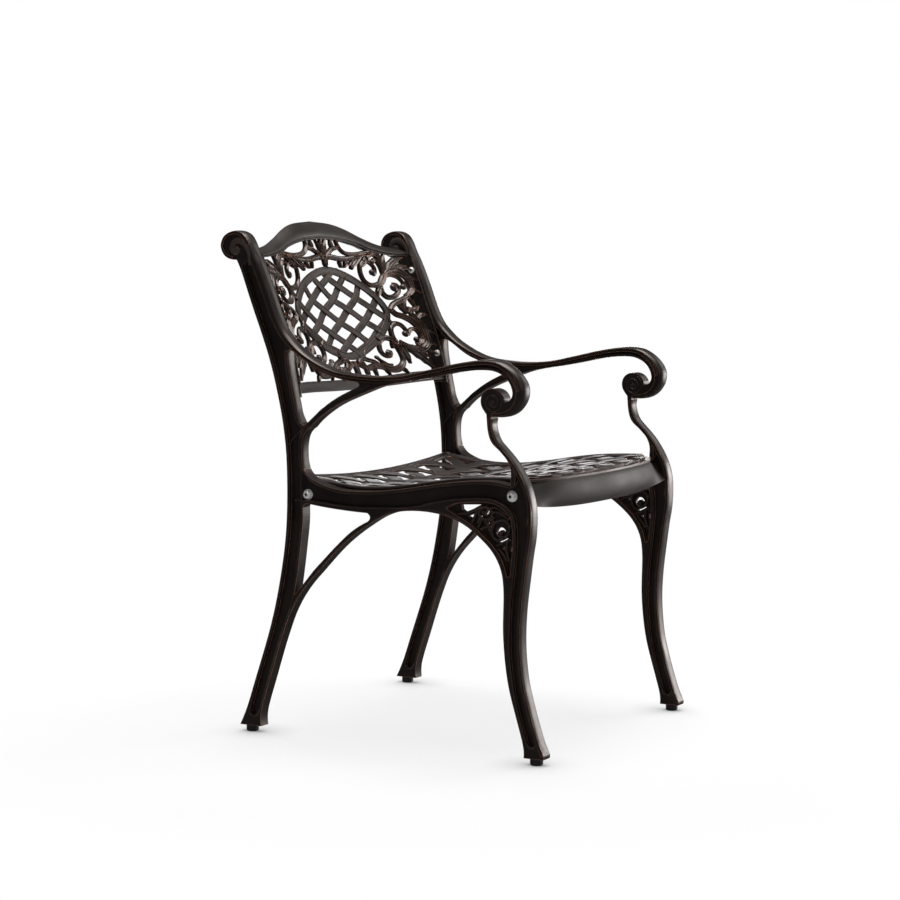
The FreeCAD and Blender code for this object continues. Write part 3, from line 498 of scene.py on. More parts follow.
# Rounded band round a post's scroll, down its front, over the arm and round the arm's hook:
# (u, z, how far its crown stands off the frame's edge, half its width)
FRONT_BAND = [(-27, 794.5, 0.2, 12.6), (-41, 800, 0.0, 13.0), (-50, 816, -0.7, 13.2),
              (-45, 831, -0.3, 13.2), (-33, 839.5, 0.5, 13.2), (-18, 842, 0.7, 13.4),
              (-3, 836, 1.6, 13.4), (6, 822, 3.6, 13.4), (12, 803, 7.0, 13.4), (20, 785, 8.6, 13.4),
              (30, 762, 9.0, 13.4), (40, 738, 9.0, 13.4), (50, 713, 8.6, 13.4),
              (60, 692, 7.6, 13.4), (73, 672, 6.0, 13.4), (90, 656, 4.4, 13.4),
              (110, 641, 3.0, 13.4), (140, 625, 2.2, 13.5), (170, 614, 1.8, 13.6),
              (200, 609, 1.6, 13.7), (250, 606, 1.6, 13.8), (300, 609, 1.6, 14.0),
              (350, 619, 1.7, 14.3), (400, 630, 1.8, 14.5), (440, 636, 2.0, 14.7),
              (465, 636.5, 2.4, 14.9), (485, 631, 4.2, 14.9), (503, 617, 7.0, 14.9),
              (513, 603, 8.8, 14.9), (516.5, 592, 9.2, 14.9), (515, 578, 8.4, 14.6),
              (508, 565, 6.4, 13.8), (497, 556, 4.4, 12.8), (482, 551.5, 2.8, 11.9),
              (466, 550, 1.2, 11.4)]
# The same down the front of the arm's support and the front leg; its middle has an even crown
LEG_LINE = [(468, 523), (474, 511), (485, 499.5), (497, 487.5), (508, 474.5), (518, 459),
            (529, 438), (535.5, 415), (537, 392), (536, 361), (531, 330), (525.5, 290),
            (520.5, 250), (518, 210), (519, 172), (524, 130)]
LEG_BAND = ([(467, 546, 1.2, 11.3), (465, 537, 1.4, 11.4)]
            + [(u, z, 1.6, 11.4) for u, z in LEG_LINE]
            + [(533, 95, 1.5, 11.4), (543, 62, 1.2, 11.4), (553, 34, 0.8, 11.4),
               (558.5, 23, 0.5, 11.4), (560.5, 16, 0.0, 11.4)])
# And down the front of the post, between arm, brace and seat rail
WINDOW_BANDS = [
    [(81.5, 645, 1.0, 11.2), (83, 618, 2.2, 11.2), (88, 590, 2.2, 11.2), (94, 562, 2.2, 11.2),
     (99, 541, 2.0, 11.2), (106, 527, 1.0, 11.2)],
    [(124, 518, 0.6, 11.2), (114, 508, 2.0, 11.2), (109, 490, 2.2, 11.2), (109, 466, 2.2, 11.2),
     (113, 450, 0.8, 11.2)],
]
# Shares of the half width at which a rounded band's section has points, and how far it is domed
EDGE_SHARES = [-1.0, -0.98, -0.92, -0.82, -0.7, -0.5, -0.25, 0.0, 0.25, 0.5, 0.7, 0.82, 0.92, 0.98,
               1.0]
EDGE_FOOT = 5.2
EDGE_STEP = 4.0
DOME_MOST = 5.2
DOME_LEAST = 0.7
DOME_SHARE = 0.6
DOME_POWER = 3.4


def rounded_band(side, table):
    """Band along a frame's edge, domed the more the further its crown stands off."""
    spots = curve([row[:2] for row in table], EDGE_STEP)
    marks = [0.0]
    for a, b in zip(table, table[1:]):
        marks.append(marks[-1] + math.dist(a[:2], b[:2]))
    rises = [(mark, row[2]) for mark, row in zip(marks, table)]
    halves = [(mark, row[3]) for mark, row in zip(marks, table)]
    rings = []
    run = 0.0
    for i, (u, z) in enumerate(spots):
        if i:
            run += math.dist(spots[i], spots[i - 1])
        out = leftward(spots, i)
        rise, half = between(run, rises), between(run, halves)
        dome = min(DOME_MOST, DOME_LEAST + DOME_SHARE * max(rise, 0.0))
        section = [(share, rise - dome * abs(share) ** DOME_POWER) for share in EDGE_SHARES]
        section = [(-0.98, -EDGE_FOOT)] + section + [(0.98, -EDGE_FOOT)]
        rings.append([at(side * (MIDDLE_OF_FRAME + half * share), u + out[0] * reach,
                         z + out[1] * reach) for share, reach in section])
    return rings, False


# Volute inside the post's scroll, as (u, z) from the post up and round to its eye
VOLUTE = [(9, 786), (9, 797), (7, 809), (1, 819), (-9, 825.5), (-19, 825.5), (-26, 819.5),
          (-27, 811.5), (-22.5, 806), (-16, 806.5), (-13, 811.5), (-16, 815.5)]
VOLUTE_SWELL = [(0.0, 5.0), (0.3, 12.0), (0.6, 12.0), (0.85, 8.0), (1.0, 5.0)]
VOLUTE_SECTION = [(-1.0, -1.5), (-1.0, 0.3), (-0.86, 2.0), (-0.6, 3.2), (-0.2, 3.7), (0.2, 3.3),
                  (0.55, 2.3), (0.82, 1.2), (1.0, 0.1), (1.0, -1.5)]
VOLUTE_STEP = 2.5
# Its eye: a domed spot with its reach and rise
VOLUTE_EYE = ((-19.0, 812.5), 5.0, 3.8)


def volute(side, face, outward):
    """Raised strap that curls inwards on a post's scroll."""
    spots = curve(VOLUTE, VOLUTE_STEP)
    rings = []
    for i, (u, z) in enumerate(spots):
        out = leftward(spots, i)
        half = between(i / (len(spots) - 1), VOLUTE_SWELL) / 2
        rings.append([at(side * (face + outward * depth),
                         u - out[0] * half * share, z - out[1] * half * share)
                      for share, depth in VOLUTE_SECTION])
    return rings, False


# End of the arm on the post, the same way
ARM_TAIL = ((82.5, 651.0), 7.0, 2.6)


def frame_bands(side):
    """The rounded bands of a frame, and the end of its arm on the post."""
    bands = [rounded_band(side, table) for table in [FRONT_BAND, LEG_BAND] + WINDOW_BANDS]
    return bands + [boss(side, face, outward, *ARM_TAIL) for face, outward in FACES]


def post_volutes(side):
    solids = []
    for face, outward in FACES:
        solids.append(volute(side, face, outward))
        solids.append(boss(side, face, outward, *VOLUTE_EYE))
    return solids


# Scroll strands in the bracket under the seat rail's front, as (u, z), with their radius
STRANDS = [
    ([(452.8, 405.6), (445.1, 402.1), (441.8, 395.1), (445.1, 388.5), (453.6, 385.9),
      (462.1, 388.4), (465.5, 395.1), (462.8, 402.1), (455.7, 405.5)], 2.3),
    ([(404, 392), (421, 394.6), (431.9, 399.3), (441.2, 403.9), (449.7, 406.4), (457.4, 406.5)], 2.3),
    ([(438.5, 401), (437.7, 397.6), (434.2, 390.6), (430.7, 382.9), (427, 379)], 2.2),
    ([(447, 390), (445.9, 387), (445.1, 383.0), (442.8, 376.7), (439.5, 371.9)], 2.2),
    ([(457.5, 403.5), (469.8, 406.2), (478.2, 404.0), (485.1, 399.3), (491.3, 396.6)], 2.2),
    ([(465.2, 396.4), (472.9, 398.9), (480.5, 397.3), (488.2, 393.0), (494.8, 388.2)], 2.2),
    ([(446, 369.9), (454.4, 374.4), (461.3, 374.8), (468.3, 380.3), (476.7, 384.9),
      (485.4, 386.2), (492.8, 383.3), (497.0, 377.3)], 2.5),
    ([(496.7, 377.2), (495.9, 368.4), (491.3, 362.0), (483.7, 359.3), (478.5, 362.2)], 2.2),
    ([(468.3, 379.3), (465.2, 371.3), (465.2, 364.5), (468.3, 357.9), (475.2, 354.0),
      (483.7, 357.6), (491.3, 360.6)], 2.3),
    ([(474, 345.4), (484.5, 350.3), (492.9, 354.3), (499.2, 356.6)], 2.0),
    ([(492.9, 351.9), (491.0, 341.6), (492.9, 332.2), (496.3, 323.7)], 2.2),
    ([(478.4, 339.8), (485.3, 332.8), (492.0, 322.8)], 2.2),
    ([(453, 387), (454.4, 381.5), (459, 377.5)], 2.2),
    ([(465, 391), (465.2, 387.0), (468, 381)], 2.2),
]
STRAND_STEP = 2.0
STRAND_SUNK = 4.3
STRAND_EYES = [((479.8, 364.7), 4.2), ((465.0, 389.0), 4.0), ((449.0, 397.0), 3.0)]
STRAND_EYE_SUNK = 5.3
STRAND_EYE_RISE = 4.0


def bracket_strands(side):
    solids = []
    for face, outward in FACES:
        deep = face - outward * STRAND_SUNK
        solids += [tube(face_spots(curve(points, STRAND_STEP), deep, side), radius)
                   for points, radius in STRANDS]
        deep = face - outward * STRAND_EYE_SUNK
        solids += [boss(side, deep, outward, spot, reach, STRAND_EYE_RISE)
                   for spot, reach in STRAND_EYES]
    return solids


# Seat bolts as (u, z), and dark discs that fill their hexagon sockets: painted shade
SEAT_BOLTS = [(117.0, 408.0), (500.0, 425.0)]
SOCKET_REACH = 2.8
SOCKET_DEPTH = 1.2


# Dark disc that fills a bolt's hexagon socket: painted shade
def socket_shade(side, u, z):
    rings = [[at(side * x, u + a, z + b) for a, b in round_points(6, SOCKET_REACH)]
             for x in (HALF_WIDTH - SOCKET_DEPTH, HALF_WIDTH)]
    return rings, False


# Seat: its top follows the seat rails and dishes in the middle
SEAT_HALF = INNER_FACE - 0.3
SEAT_PROFILE = [(88, 436), (120, 430.5), (150, 426), (200, 421.5), (250, 422.5), (300, 428.5),
                (350, 437), (400, 444), (450, 447.5), (500, 448.5), (530, 448.5), (560, 448.5)]
SEAT_CURVE = curve(SEAT_PROFILE, 5.0)
SEAT_BACK = 88.0
SEAT_FRONT = 520.0
SEAT_BOW = 28.0
BOW_RADIUS = (SEAT_HALF ** 2 + SEAT_BOW ** 2) / (2 * SEAT_BOW)
CORNER_START = 0.6
CORNER_SWEEP = 20.0
CORNER_FALL = 0.9
DISH = 14.0
DISH_FADE = [(88, 0.95), (330, 1.0), (440, 0.6), (520, 0.0)]
SEAT_RIM = 15.0
RIM_THICK = 3.2
WEAVE_INSET = 10.0
BAND_WIDTH = 26.0
BAND_PITCH = 52.0
BAND_THICK = 2.2
BAND_RISE = 3.4
WEAVE_START = 152.0


def corner_sweep(x):
    """How far the seat's front edge curves back close to the legs."""
    share = max(abs(x) / SEAT_HALF - CORNER_START, 0.0) / (1 - CORNER_START)
    return CORNER_SWEEP * share ** 2


def front_of_seat(x):
    bow = math.sqrt(BOW_RADIUS ** 2 - x * x) - BOW_RADIUS
    return SEAT_FRONT + SEAT_BOW + bow - corner_sweep(x)


def seat_top(x, u):
    return between(u, SEAT_CURVE) - DISH * (1 - (x / SEAT_HALF) ** 2) * between(u, DISH_FADE)


PLATEAU = 0.27


def plateau(share):
    """0 to 1, level near both ends and steep between."""
    t = min(max((share - PLATEAU) / (1 - 2 * PLATEAU), 0.0), 1.0)
    return t * t * (3 - 2 * t)


def weave_lift(place, parity):
    """1 where the band at this place along it runs over, 0 where it runs under."""
    q = place - 0.5
    j = math.floor(q)
    here, there = ((j + parity) % 2 == 0), ((j + 1 + parity) % 2 == 0)
    return here + (there - here) * plateau(q - j)


BAND_SEARCH = range(-520, 900, 2)


def band_run(anchor, along, across, offset):
    """Where a line along a band enters and leaves the seat's woven field, as distances."""
    spot = (anchor[0] + across[0] * offset, anchor[1] + across[1] * offset)
    inside = [s for s in BAND_SEARCH
              if abs(spot[0] + along[0] * s) < SEAT_HALF - WEAVE_INSET
              and SEAT_BACK + WEAVE_INSET < spot[1] + along[1] * s
              < front_of_seat(spot[0] + along[0] * s) - WEAVE_INSET]
    return (inside[0], inside[-1]) if len(inside) > 3 else None


# Section of a woven band as (share of the half width, height); -1 is its underside
SEAT_SECTION = [(-1.0, -1.0), (-1.0, 0.2), (-0.95, 0.75), (-0.86, 0.95), (-0.78, 0.8), (-0.4, 0.9),
                (0.0, 0.95), (0.4, 0.9), (0.78, 0.8), (0.86, 0.95), (0.95, 0.75), (1.0, 0.2),
                (1.0, -1.0)]
SECTION_HEIGHT = 0.8
SHORTEST_BAND = 18.0
BAND_STEP = 5.0


def seat_band(family, index):
    """Woven band: it bows over the bands of the other family and under them in turn."""
    angle = math.radians(45 * family)
    along = (math.cos(angle), math.sin(angle))
    across = (-along[1], along[0])
    centre = (index + 0.5) * BAND_PITCH
    anchor = (across[0] * centre, WEAVE_START + across[1] * centre)
    half = BAND_WIDTH / 2
    runs = [band_run(anchor, along, across, offset * half) for offset, height in SEAT_SECTION]
    if None in runs or min(end - start for start, end in runs) < SHORTEST_BAND:
        return None
    count = max(2, round(max(end - start for start, end in runs) / BAND_STEP))
    rings = []
    for step in range(count + 1):
        ring = []
        for (offset, height), (start, end) in zip(SEAT_SECTION, runs):
            s = start + (end - start) * step / count
            x = anchor[0] + across[0] * offset * half + along[0] * s
            u = anchor[1] + across[1] * offset * half + along[1] * s
            lift = weave_lift(s / BAND_PITCH, index)
            thick = BAND_RISE * lift + (SECTION_HEIGHT * height if height > 0 else -BAND_THICK)
            ring.append(at(x, u, seat_top(x, u) + thick))
        rings.append(ring)
    return rings, False


def seat_weave():
    bands = [seat_band(family, index) for family in (1, -1) for index in range(-9, 10)]
    return [band for band in bands if band]


RIM_STEP = 8
HALF_PARTS = 30


def edge_line(inset):
    """Round the seat's sides and back, inset from its edge."""
    half = SEAT_HALF - inset
    front = int(front_of_seat(half)) - 14
    side = [(half, u) for u in range(front, int(SEAT_BACK + inset), -RIM_STEP)]
    back = [(half * (1 - i / HALF_PARTS), SEAT_BACK + inset) for i in range(2 * HALF_PARTS + 1)]
    return side + back + [(-x, u) for x, u in reversed(side)]


def front_line(inset):
    """Along the seat's bowed front, inset from its edge."""
    across = [(SEAT_HALF - 12.0) * (i / HALF_PARTS - 1) for i in range(2 * HALF_PARTS + 1)]
    return [(x, front_of_seat(x) - inset) for x in across]


def strip(line, width, section):
    """Band that lies on the seat along a line. Its section is (share of the half width, height)."""
    rings = []
    for (x, u), (edge_x, edge_u) in zip(line, beside(line, width / 2)):
        ring = []
        for share, height in section:
            spot_x, spot_u = x + (edge_x - x) * share, u + (edge_u - u) * share
            ring.append(at(spot_x, spot_u, seat_top(spot_x, spot_u) + height))
        rings.append(ring)
    return rings, False


def roll(line, width, height):
    """A half-round moulding, sunk a little into the seat's rim."""
    arch = [(math.cos(math.pi * k / 8), height * math.sin(math.pi * k / 8)) for k in range(9)]
    return strip(line, width, arch + [(-1, -1.5), (1, -1.5)])


def seat_rolls():
    return [roll(edge_line(5.0), 9.0, 4.6), roll(edge_line(13.5), 4.0, 3.2),
            roll(front_line(14.0), 4.0, 3.0)]


def seat_rim():
    section = [(1, 0.0), (-1, 0.0), (-1, -RIM_THICK), (1, -RIM_THICK)]
    return [strip(line(SEAT_RIM / 2), SEAT_RIM, section) for line in (edge_line, front_line)]


SKIRT_THICK = 5.0
SKIRT_DROP = 36.0
BOSS_RADIUS = 9.6
# Rings of a boss as (how far in from the skirt, share of its radius)
BOSS_RINGS = [(0.0, 1.0), (15.5, 1.0), (17.0, 0.85)]


def skirt(side):
    """Side of the seat against a frame; its top falls where the front edge curves back."""
    rings = []
    for u in range(89, 521, 8):
        top = seat_top(SEAT_HALF, u) - 0.5
        low = top - SKIRT_DROP + 0.5
        top -= CORNER_FALL * max(u - front_of_seat(SEAT_HALF) - APRON_END_TOP, 0.0)
        outer, inner = SEAT_HALF, SEAT_HALF - SKIRT_THICK
        rings.append([at(side * x, u, z) for x, z in (
            (outer, top), (inner, top), (inner, low + 1.0), (inner + 1.0, low), (outer - 1.0, low),
            (outer, low + 1.0))])
    return rings, False


def seat_boss(side, u, z):
    """Round boss on the inside of a skirt, where a seat bolt is screwed in."""
    rings = [[at(side * (SEAT_HALF - back), u + a, z + b)
              for a, b in round_points(24, BOSS_RADIUS * share)] for back, share in BOSS_RINGS]
    return rings, False


# Section of the apron as (ahead of the seat's front, below its top), outer face then inner face
APRON_OUTER = [(-12, 0.0), (-5, -0.6), (0.0, -3.5), (3.0, -8.5), (5.0, -16), (6.4, -27), (6.2, -37),
               (4.4, -47), (0.5, -57)]
APRON_INNER = [(-2.5, -57), (-0.8, -50), (0.8, -44), (2.6, -34), (2.6, -26), (1.2, -16), (-1.5, -9),
               (-6, -4.6), (-12, -3.2)]
APRON_STEPS = 40
APRON_TOP = 448.5
APRON_DEPTH = 57.0
APRON_DROP = 49.0
APRON_DROP_FADE = 0.2
APRON_THICK = 3.0
APRON_SWEEP_START = 0.6
APRON_END_TOP = -9.0
APRON_END_SLOPE = 0.36


def apron():
    """Front face of the seat, rolling over the rim and down; a flat slope at the legs."""
    rings = []
    section = [(ahead, below, 0.0) for ahead, below in curve(APRON_OUTER, 3.0)]
    section += [(ahead, below, APRON_THICK) for ahead, below in curve(APRON_INNER, 3.0)]
    for i in range(-APRON_STEPS, APRON_STEPS + 1):
        side = i / APRON_STEPS
        x = (SEAT_HALF - 1.0) * side
        turn = math.asin(x / BOW_RADIUS)
        drop = APRON_DROP * (1 - APRON_DROP_FADE * side ** 4)
        sweep = max(abs(side) - APRON_SWEEP_START, 0.0) / (1 - APRON_SWEEP_START)
        ring = []
        for ahead, below, behind in section:
            slant = APRON_END_TOP - APRON_END_SLOPE * below - behind
            reach = BOW_RADIUS + ahead + (slant - ahead) * sweep ** 2
            back = corner_sweep(x) * (1 + below / APRON_DEPTH)
            ring.append(at(min(max(reach * math.sin(turn), -SEAT_HALF), SEAT_HALF),
                           SEAT_FRONT + SEAT_BOW - BOW_RADIUS + reach * math.cos(turn) - back,
                           APRON_TOP + below * drop / APRON_DEPTH))
        rings.append(ring)
    return rings, False


def build_seat():
    sides = [skirt(side) for side in (-1, 1)]
    sides += [seat_boss(side, u, z) for side in (-1, 1) for u, z in SEAT_BOLTS]
    weave = piece("seat_weave", seat_weave(), panel_coat)
    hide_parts("seat_panel")
    piece("seat_rolls", seat_rolls(), panel_coat)
    piece("seat_rim", seat_rim(), panel_coat)
    piece("seat_skirts", sides, panel_coat)
    # The apron takes its lighter coat: painted sheen
    piece("seat_apron", [apron()], apron_sheen_coat)


# Back: hollowed between the posts and leaning with them. First its u at the height z
BACK_LINE = [(556, 77), (567, 75), (598, 69), (653, 54), (707, 33), (750, 17), (800, -2), (875, -31)]
# How far its middle stands behind that at the height z, and its sides ahead
MIDDLE_BEHIND = [(575, 12), (610, 19), (640, 25), (740, 25), (800, 15.5), (875, 14)]
SIDES_AHEAD = [(556, 15), (740, 15), (800, 8), (875, 5)]
TABLE_STEP = 6.0
BACK_CURVE = curve(BACK_LINE, TABLE_STEP)
HOLLOW_CURVE = curve(MIDDLE_BEHIND, TABLE_STEP)
AHEAD_CURVE = curve(SIDES_AHEAD, TABLE_STEP)


def on_back(x, z, ahead):
    """A spot of the back: ahead is how far it stands in front of the pierced sheet's front."""
    share = x / SEAT_HALF
    hollow = between(z, HOLLOW_CURVE)
    u = between(z, BACK_CURVE) - hollow + (hollow + between(z, AHEAD_CURVE)) * share * share
    return at(x, u + ahead, z)


def strap(points, widths, section, lifts=None, cyclic=False):
    """Band along flat points. Its section is (share of the half width, how far ahead)."""
    rings = []
    for i, (x, z) in enumerate(points):
        t = i / (len(points) - 1)
        side = leftward(points, i, cyclic)
        half = widths(t) / 2
        lift = lifts(t) if lifts else 0.0
        rings.append([on_back(x + side[0] * half * share, z + side[1] * half * share, depth + lift)
                      for share, depth in section])
    return rings, cyclic


def flipped(points):
    return [(-x, z) for x, z in points]


# Sections of the scrolls: one groove on narrow straps, two on wide ones
FLUTED = [(-1.0, -4.2), (-1.0, -0.6), (-0.86, 0.9), (-0.62, 1.9), (-0.38, 1.5), (-0.16, 0.2),
          (0.06, 0.4), (0.30, 2.0), (0.56, 2.9), (0.82, 2.0), (1.0, 0.0), (1.0, -4.2)]
TWICE_FLUTED = [(-1.0, -4.2), (-1.0, -0.4), (-0.88, 0.8), (-0.72, 1.3), (-0.56, 0.6),
                (-0.44, 0.1), (-0.30, 1.4), (-0.12, 2.2), (0.06, 1.4), (0.18, 0.6), (0.34, 2.0),
                (0.56, 3.1), (0.80, 2.4), (0.95, 0.8), (1.0, -0.6), (1.0, -4.2)]
STRAP_STEP = 3.0
WIDE_STRAP = 12.0
SCROLL_RISE = 0.8
# Scrolls of the sitter's left half as (x, z), each with its width at the start, middle and end
SCROLLS = [
    ([(167, 767), (160, 755), (150, 748), (137, 745), (121, 746), (109, 753), (103, 764), (103, 777),
      (110, 786), (122, 788), (134, 785), (142, 777), (141, 768), (136, 763)], (10, 9, 5)),
    ([(165, 762), (168.5, 778), (167, 790), (158, 799), (146, 801), (134, 796)], (9, 16, 4)),
    ([(163, 764), (161, 778), (156, 787), (149, 791), (142, 787)], (7, 9, 4)),
    ([(166, 764), (154, 753), (148, 743), (148.5, 731), (158, 723.5), (174, 723.5), (187, 730),
      (192, 739), (188, 746), (181, 747)], (9, 10, 5)),
    ([(161, 761), (176, 769), (198, 770.5), (214, 764.5), (223.5, 752), (223.5, 738),
      (214, 729), (202, 725)], (9, 16, 5)),
    ([(160, 755), (173, 762), (190, 761.5), (202, 755), (206.5, 746), (203, 738)], (6, 7, 4)),
    ([(155, 700), (166, 709), (180, 714.5), (196, 719), (210, 726), (222, 738)], (9, 9, 5)),
    ([(200, 722), (193, 712), (191, 702), (197, 696)], (7, 9, 6)),
    ([(206, 704), (203, 694), (210, 682), (219.5, 668), (223, 653), (219, 640), (206, 631),
      (188, 629), (171, 633), (152, 642)], (9, 16, 11)),
    ([(156, 702), (165, 693), (182, 688), (198, 680), (208, 668), (211, 655), (206, 644),
      (193, 638)], (10, 13, 6)),
    ([(144, 641), (137.5, 655), (140.5, 668), (152, 675.5), (166, 674), (174.5, 665.5),
      (177, 657)], (10, 10, 5)),
    ([(178, 655), (187, 663), (198, 665), (205, 658), (206, 648), (199, 641)], (6, 7, 4)),
    ([(144, 640), (130, 649), (113, 651.5), (99, 646.5), (92.5, 636), (95, 625), (106, 618.5),
      (117, 620.5), (119.5, 627), (113, 629)], (10, 10, 4)),
    ([(10, 611), (35, 601.5), (61, 603.5), (80, 602.5), (98, 597.5), (117, 595.5), (133, 598.5),
      (144.5, 607.5), (146, 620), (141.5, 633), (130, 645)], (9, 13, 9)),
    ([(14, 611), (24, 617.5), (34, 618.5), (46, 615), (60, 612), (72, 606)], (9, 9, 7)),
    ([(112, 603), (98, 604), (86, 610), (74, 619)], (6, 9, 4)),
    ([(150, 805), (130, 804), (110, 801.5), (90, 801), (72, 802.5), (60, 807), (52, 816),
      (49, 829)], (7, 8, 8)),
    ([(128, 801), (112, 799), (95, 796), (75, 793.5), (50, 793), (30, 795.5), (14, 797),
      (0, 796)], (7, 10, 11)),
    ([(114, 800), (96, 788), (78, 776)], (8, 9, 4)),
    ([(4, 796), (20, 805), (34, 811), (50, 813)], (9, 9, 7)),
]
# Round ends of scrolls as (x, z, reach), and their section as (share of the reach, ahead)
KNOBS = [(135, 768, 6.0), (181, 740, 7.5), (204, 741, 5.5), (172, 657, 6.0), (196, 646, 5.5),
         (114, 624, 6.5), (78, 777, 4.0), (141, 787, 4.5), (198, 696, 4.5), (75, 618, 4.0)]
KNOB_SECTION = [(0.8, -4.2), (1.0, -1.0), (0.94, 1.2), (0.72, 2.9), (0.4, 3.9), (0.12, 4.2)]
# Leaves of the same half: foot, tip, width, sideways bow, lobes on each side
LEAVES = [
    ((167, 764), (180, 801), 15, 3, 2), ((170, 765), (228, 794), 15, 6, 3),
    ((176, 768), (229, 779), 13, 4, 3), ((186, 770), (240, 771), 11, 5, 2),
    ((216, 757), (240, 752), 10, 2, 2), ((218, 735), (240, 729), 9, 2, 1),
    ((176, 712), (190, 692), 10, 2, 2), ((206, 722), (216, 703), 9, 3, 2),
    ((204, 700), (225, 706), 10, -3, 2), ((214, 684), (240, 690), 10, 3, 2),
    ((222, 662), (240, 656), 9, 0, 1), ((218, 640), (240, 634), 9, 0, 1),
    ((150, 640), (162, 604), 16, 3, 3), ((154, 640), (220, 593), 19, 5, 4),
    ((160, 636), (216, 614), 13, 4, 3), ((172, 632), (236, 618), 12, 4, 3),
    ((132, 647), (128, 632), 8, 0, 1), ((100, 645), (86, 655), 7, 0, 1),
    ((124, 800), (108, 778), 11, 3, 3), ((136, 801), (128, 788), 9, 0, 2),
    ((96, 796), (68, 781), 11, 3, 3), ((66, 793), (56, 777), 10, 2, 2),
    ((150, 748), (132, 724), 13, 0, 3), ((146, 668), (138, 690), 11, 0, 2),
    ((0.5, 798), (0, 829), 13, 0, 3), ((6, 799), (17, 829), 10, 3, 2), ((32, 808), (33, 829), 11, 0, 2),
    ((0.5, 799), (0, 777), 16, 0, 3), ((44, 794), (46, 777), 8, 0, 2),
    ((26, 614), (30, 583), 13, 2, 3), ((1, 615), (0, 583), 15, 0, 3), ((52, 607), (55, 583), 9, 2, 2),
    ((36, 614), (44, 634), 8, 0, 1), ((132, 598), (150, 586), 9, 2, 2), ((86, 603), (96, 586), 9, 0, 2),
]
LEAF_BACK = -4.0
LEAF_SECTION = [(-1.0, LEAF_BACK), (-1.0, -0.8), (-0.72, 1.0), (-0.40, 1.6), (-0.12, 0.6), (0.0, -0.2),
                (0.12, 0.6), (0.40, 2.0), (0.72, 1.4), (1.0, -0.8), (1.0, LEAF_BACK)]
# Its half width as a share: at the foot, what the middle adds, what the tip loses
LEAF_FOOT = 0.45
LEAF_MIDDLE = 2.2
LEAF_TIP = 0.72
LOBE_DEPTH = 0.2


def leaf(foot, tip, width, bow, lobes):
    """Acanthus leaf: lobed, with a sunk vein, and a tip that curls forward."""
    length = math.dist(foot, tip)
    along = ((tip[0] - foot[0]) / length, (tip[1] - foot[1]) / length)
    side = (-along[1], along[0])
    count = max(8, round(length / 2.5))
    rings = []
    for i in range(count + 1):
        t = i / count
        bend = bow * 4 * t * (1 - t)
        lobe = 1.0 - LOBE_DEPTH * abs(math.sin(math.pi * lobes * t))
        half = width / 2 * (LEAF_FOOT + LEAF_MIDDLE * t * (1 - t)) * lobe * (1 - LEAF_TIP * t ** 5)
        rise = math.sin(math.pi * t) + 0.8 * t * t
        ring = []
        for share, depth in LEAF_SECTION:
            x = foot[0] + along[0] * length * t + side[0] * (bend + half * share)
            z = foot[1] + along[1] * length * t + side[1] * (bend + half * share)
            ring.append((x, z, depth + (rise if depth > LEAF_BACK else 0.0)))
        rings.append(ring)
    return rings


def placed_leaf(item, hand):
    return [[on_back(hand * x, z, depth) for x, z, depth in ring] for ring in leaf(*item)], False


def knob(x, z, reach):
    """Round boss at the end of a scroll."""
    rings = [[on_back(x + a, z + b, depth) for a, b in round_points(15, reach * share)]
             for share, depth in KNOB_SECTION]
    return rings, False


def back_scrolls():
    solids = []
    for points, (start, middle, end) in SCROLLS:
        swell = [(0.0, start), (0.5, middle), (0.85, (middle + 2 * end) / 3), (1.0, end)]
        section = FLUTED if middle < WIDE_STRAP else TWICE_FLUTED
        for hand in (points, flipped(points)):
            solids.append(strap(curve(hand, STRAP_STEP), lambda t: between(t, swell), section,
                                lambda t: SCROLL_RISE * t))
    for x, z, reach in KNOBS:
        solids += [knob(x, z, reach), knob(-x, z, reach)]
    return solids


def back_leaves():
    return [placed_leaf(item, hand) for item in LEAVES for hand in (1, -1)]


# Woven oval: the ribbons that climb to the right; the other family is their mirror image
RIBBONS = [
    [(-140, 719), (-88, 748), (-48, 765), (-10, 779)],
    [(-150, 678), (-107, 703), (-70, 725), (-30, 744), (0, 762), (26, 781)],
    [(-140, 645), (-107, 665), (-75, 683), (-38, 703), (0, 723), (30, 744), (58, 773)],
    [(-84, 636), (-38, 662), (0, 683), (38, 703), (70, 725), (98, 755)],
    [(-41, 618), (0, 645), (38, 662), (75, 683), (107, 703), (140, 731)],
    [(12, 616), (28, 628), (70, 645), (107, 665), (152, 690)],
]
OVAL_CENTRE = 698.5
OVAL_REACH = 149.0
OVAL_RISE = 81.5
OVAL_POWER = 1.6
OVAL_PARTS = 120
RING_INSET = 6.3
RIBBON_INSET = 4.0
RIBBON_WIDTH = 12.0
WEAVE_RISE = 0.9
BEADED = [(-1.0, -2.6), (-1.0, 0.4), (-0.90, 1.2), (-0.78, 1.2), (-0.66, 0.2), (-0.3, 0.3),
          (0.0, 0.3), (0.3, 0.3), (0.66, 0.2), (0.78, 1.2), (0.90, 1.2), (1.0, 0.4), (1.0, -2.6)]


def oval_line(inset):
    """Round the woven oval, inset from its outline, as (x, z)."""
    points = []
    for a, b in round_points(OVAL_PARTS, 1.0):
        x = math.copysign(abs(a) ** (2 / OVAL_POWER), a) * (OVAL_REACH - inset)
        z = math.copysign(abs(b) ** (2 / OVAL_POWER), b) * (OVAL_RISE - inset)
        points.append((x, OVAL_CENTRE + z))
    return points


def in_oval(x, z, inset):
    return (abs(x / (OVAL_REACH - inset)) ** OVAL_POWER
            + abs((z - OVAL_CENTRE) / (OVAL_RISE - inset)) ** OVAL_POWER) < 1.0


def crossings(line, others):
    """Where other ribbons cross a ribbon: (share of its length, number of the other)."""
    found = []
    for number, other in enumerate(others):
        distance, i = min((math.dist(a, b), i) for i, a in enumerate(line) for b in other)
        if distance < 3.0:
            found.append((i / (len(line) - 1), number))
    return sorted(found)


